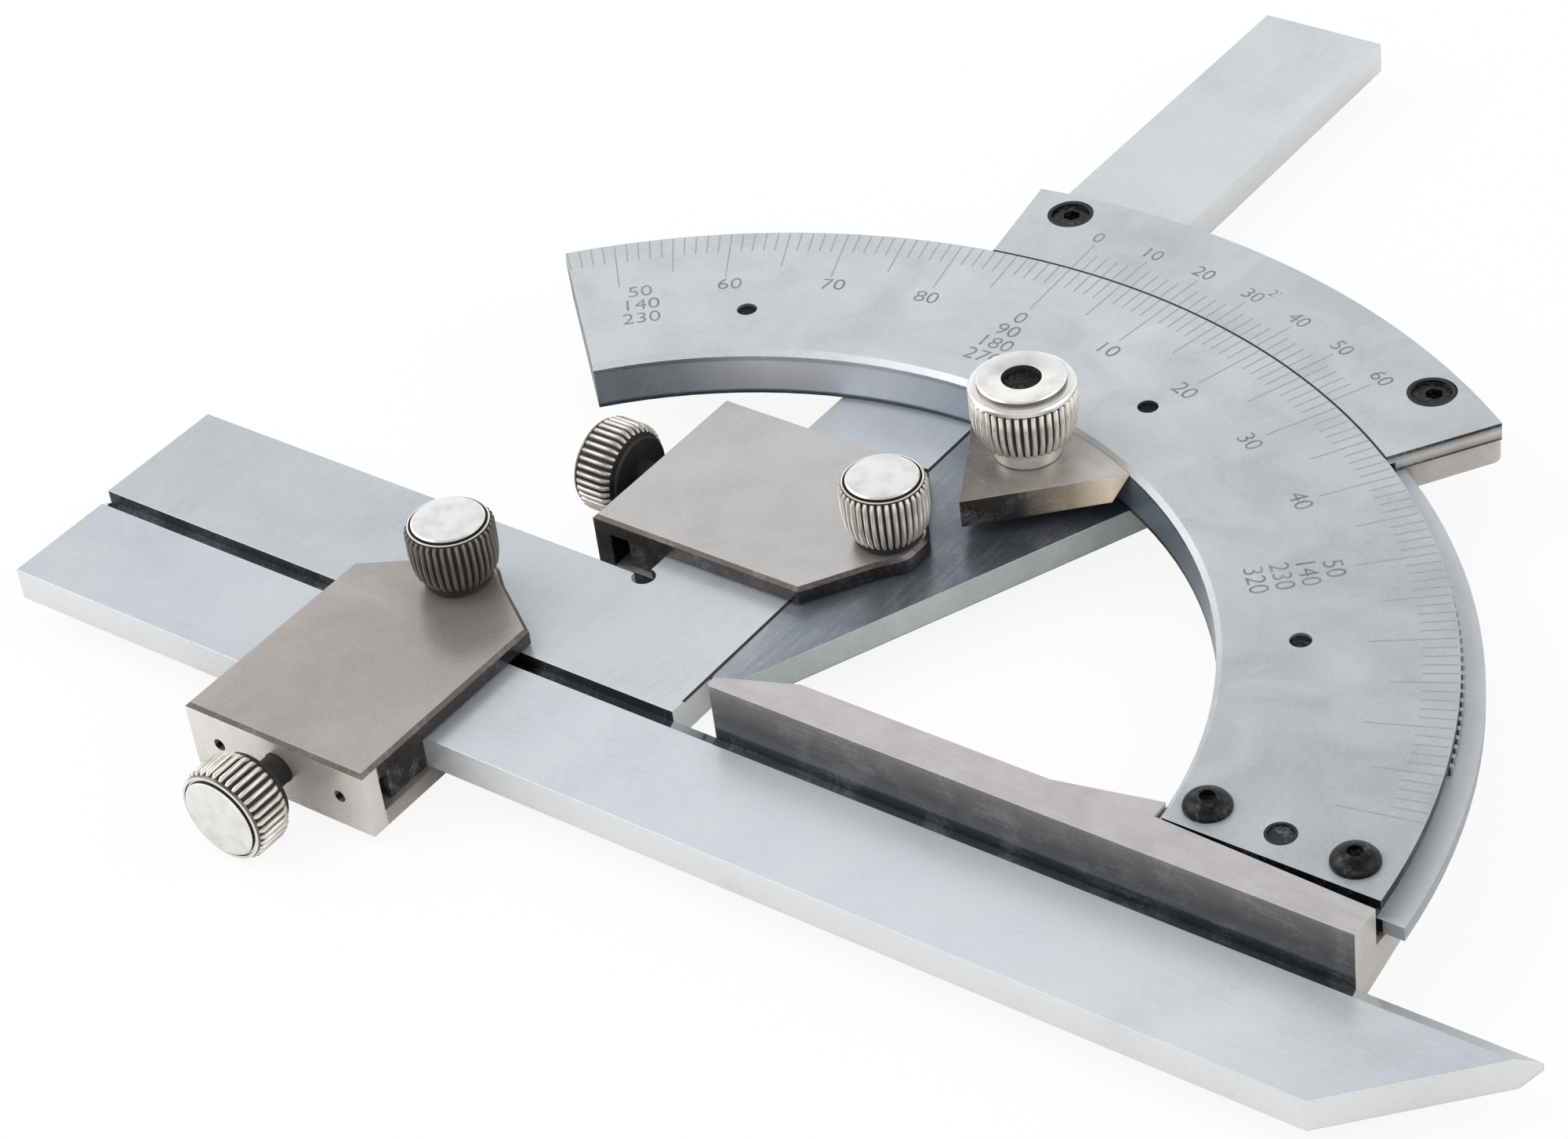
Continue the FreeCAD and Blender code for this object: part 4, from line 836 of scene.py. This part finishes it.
def knob_profile(side, shank_radius, shank_length, collar_radius, cap_radius, length):
    """Knob with its foot at level 0, a short shank below it and a raised cap in a ring groove."""
    rim, side_top = side[-1]
    foot = [
        (0.0, -shank_length), (shank_radius, -shank_length), (shank_radius, -0.5),
        (collar_radius - 0.1, -0.5), (collar_radius, -0.4), (collar_radius, -0.1), (collar_radius - 0.1, 0.0)]
    head = [
        (rim - 0.22, side_top + 0.04), (rim - 0.28, length - 0.34), (rim - 0.42, length - 0.3),
        (cap_radius + 0.16, length - 0.3), (cap_radius + 0.1, length - 0.44),
        (cap_radius - 0.02, length - 0.42), (cap_radius - 0.06, length - 0.14),
        (cap_radius - 0.22, length - 0.03), (2.2, length - 0.01), (0.0, length)]
    return foot + core_of(side) + head


top_knob = {
    "side": [(3.5, 0.1), (3.74, 0.9), (3.93, 1.9), (4.0, 2.9), (4.0, 4.9), (3.94, 5.3)],
    "shank_radius": 1.25, "shank_length": 1.2, "collar_radius": 3.1, "cap_radius": 3.35, "length": 5.8}
side_knob = {
    "side": [(4.2, 0.15), (4.36, 0.5), (4.5, 0.9), (4.5, 3.5), (4.44, 3.8)],
    "shank_radius": 1.45, "shank_length": 4.0, "collar_radius": 3.6, "cap_radius": 3.75, "length": 4.4}
top_groove = 0.14
# The blade's top knob and the square's side knob get the shaded copies of chrome, a painted shade.
for knob_name, node, body, axis, knob, finish in (
        ("square_top_knob", "square_clamp_top_screw", "square_press", "Z", top_knob, rib_chrome),
        ("blade_top_knob", "blade_clamp_top_screw", "blade_press", "Z", top_knob, deep_shaded_chrome),
        ("square_side_knob", "square_clamp_side_screw", "square_screw", "X", side_knob, shaded_chrome),
        ("blade_side_knob", "blade_clamp_side_screw", "blade_screw", "Y", side_knob, rib_chrome)):
    groove = (knob["cap_radius"] - 0.05, knob["cap_radius"] + (top_groove if axis == "Z" else 0.0))
    item = ribbed(
        knob_name, knob_profile(**knob), knob["side"], rib_count=36, rib_width=0.42, rib_depth=0.3,
        finish=finish, ring=groove)
    low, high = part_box(node)
    foot_place = (low + high) / 2
    knob_turn = Matrix()
    if axis == "Z":
        foot_place.z = high.z - knob["length"] * MM
    elif axis == "X":
        foot_place.x = low.x + knob["length"] * MM
        knob_turn = Matrix.Rotation(-math.pi / 2, 4, "Y")
    else:
        foot_place.y = low.y + knob["length"] * MM
        knob_turn = Matrix.Rotation(math.pi / 2, 4, "X")
    item.data.transform(Matrix.Translation(foot_place) @ knob_turn)
    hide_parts(node)
    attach(item, body)
dress(bright_chrome, "thumb_wheel")

# Square and blade: hardened bars, ground flat to a light blue-grey with a fine even
# grain. Their cut sides are paler and coarser than the tops. Their tops are painted lighter and
# darker along X as painted light and shade, and the square's front face is near black, a painted
# shadow in its joint with the blade.

ground_square = steel(
    "ground_square", [(-65, "#BCC0C5"), (-25, "#C3C7CC"), (0, "#CFD3D7")],
    {"all": "#DDDEDE", "front": "#090A0C"}, roughness=0.32, metallic=0.6, clouds=0.045, cloud_size=14,
    grain=0.35, grain_size=0.25, run="Y")
dress(ground_square, "square")
ground_blade = steel(
    "ground_blade", [(-66, "#BFC4C9"), (-20, "#CDD2D6"), (30, "#D6DBDF"), (60, "#DADFE2"), (80, "#C6CBCF")],
    {"all": "#E2E3E3"}, roughness=0.32, metallic=0.55, clouds=0.045, cloud_size=14, grain=0.4,
    grain_size=0.2, run="X", bevel="#D5D8DA")
dress(ground_blade, "blade")

# Screw clamps: steel blocks milled to grip the two members they join, brushed to a warm
# grey. Their cut sides above the bottom plate and their slanted edges are painted dark, a painted
# shade, and the blade clamp's top is painted darker near its knob, a painted reflection of it. A
# loose gib inside is pressed on by the side screw.

# Painted shade: the cut sides dark above the light edge of the bottom plate.
clamp_shaded_sides = {
    "all": "#3A3536", "right": [(0, "#B9B4B0"), (1.5, "#A9A39F"), (1.62, "#262122"), (6.65, "#332D2E")]}
# The chamfer colour here paints the slanted edges dark, a painted shade.
clamp_brushing = {
    "roughness": 0.29, "clouds": 0.04, "cloud_size": 6, "grain": 0.15, "grain_size": 0.1, "wear_and_highlight_width": 0.09,
    "edge": "#6A625F", "chamfer": "#4E4744"}
brushed_clamp = steel("brushed_clamp", "#C2BFBC", clamp_shaded_sides, metallic=0.7, **clamp_brushing)
dress(brushed_clamp, "square_clamp_body")
end_sides = dict(clamp_shaded_sides, front=[(0, "#F4F0EA"), (5.7, "#E9E4DE"), (6.65, "#9A928E")])
# Painted reflection: the blade clamp's top darker near its knob.
ground_clamp = steel(
    "ground_clamp", [(-45, "#BAB4B1"), (-28, "#A8A19D"), (-10, "#B5B0AD")], end_sides, metallic=0.65,
    low_end=(-19.1, "#E9E4DE"), **clamp_brushing)
dress(ground_clamp, "blade_clamp_body")
# The gibs are painted near black, a painted shade inside the clamps' windows.
shaded_gib = steel(
    "shaded_gib", "#232325", {"all": "#2C2D30"}, roughness=0.5, metallic=0.4, clouds=0.08, cloud_size=2,
    edge="#3A3A3C")
dress(shaded_gib, "square_clamp_gib", "blade_clamp_gib")
rusted_pin = steel(
    "rusted_pin", "#6A4A43", {"all": "#4A302B"}, roughness=0.6, metallic=0.3, clouds=0.08, cloud_size=1,
    wear_and_highlight_width=0.03, edge="#7A5A52")
dress(rusted_pin, "square_clamp_pins", "blade_clamp_pins")

# Painted shadow lines: thin dark strips laid over the joints between pieces where shade falls,
# along the gap of arc and vernier, between square and sector, round the vernier screws and the dowel.

shadow_low, shadow_high = 0.004, 0.02


def oil_line(name, inner, outer, closed, level_mm, body):
    """A flat dark strip of painted shadow, a few hundredths of a millimetre thick, between two rows of (x, y)
    in mm.
    """
    shape = bmesh.new()
    rows = [[shape.verts.new((across * MM, along * MM, (level_mm + rise) * MM)) for across, along in row]
            for row, rise in ((inner, shadow_low), (outer, shadow_low), (outer, shadow_high), (inner, shadow_high))]
    count = len(inner)
    for step in range(count if closed else count - 1):
        after = (step + 1) % count
        for low, high in zip(rows, rows[1:] + rows[:1]):
            shape.faces.new((low[step], low[after], high[after], high[step]))
    if not closed:
        for step in (0, count - 1):
            shape.faces.new([row[step] for row in rows])
    bmesh.ops.recalc_face_normals(shape, faces=shape.faces)
    item = shown(name, mesh_from(shape, name, dirt_and_shade_fill))
    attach(item, body)


def arc_row(radius_mm, low_deg, high_deg, steps, centre=(0.0, 0.0)):
    bearings = [math.radians(low_deg + (high_deg - low_deg) * step / steps) for step in range(steps + 1)]
    return [(centre[0] + radius_mm * math.sin(bearing), centre[1] + radius_mm * math.cos(bearing))
            for bearing in bearings]


def oil_ring(name, centre, inner_mm, outer_mm, level_mm, body):
    rows = [arc_row(radius_mm, 0, 354, 59, centre) for radius_mm in (inner_mm, outer_mm)]
    oil_line(name, *rows, True, level_mm, body)


vernier_span = (-9.1, 35.7)
gap_edges = (scale_rim - 0.05, scale_rim + 0.16)
gap_rows = [arc_row(radius_mm, *vernier_span, 90) for radius_mm in gap_edges]
oil_line("vernier_gap_line", *gap_rows, False, scale_top, "sector")
square_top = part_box("square")[1].z / MM
square_low, square_high = 1.5, 46
edge_rows = [[(edge, square_low), (edge, square_high)] for edge in (-0.12, 0.2)]
oil_line("square_gap_line", *edge_rows, False, square_top, "sector")
vernier_screw_radius = 74.2
screw_edges = (1.85, 2.22)
for line_name, bearing_deg in (("left_screw_line", -5.6), ("right_screw_line", 30.3)):
    screw_centre = arc_row(vernier_screw_radius, bearing_deg, bearing_deg, 1)[0]
    oil_ring(line_name, screw_centre, *screw_edges, vernier_top, "sector")
dowel_low, dowel_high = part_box("base_dowel")
dowel_centre = (dowel_low + dowel_high) / 2 / MM
dowel_radius = (dowel_high.x - dowel_low.x) / 2 / MM
oil_ring("dowel_line", dowel_centre, dowel_radius - 0.05, dowel_radius + 0.2, scale_top, "base")
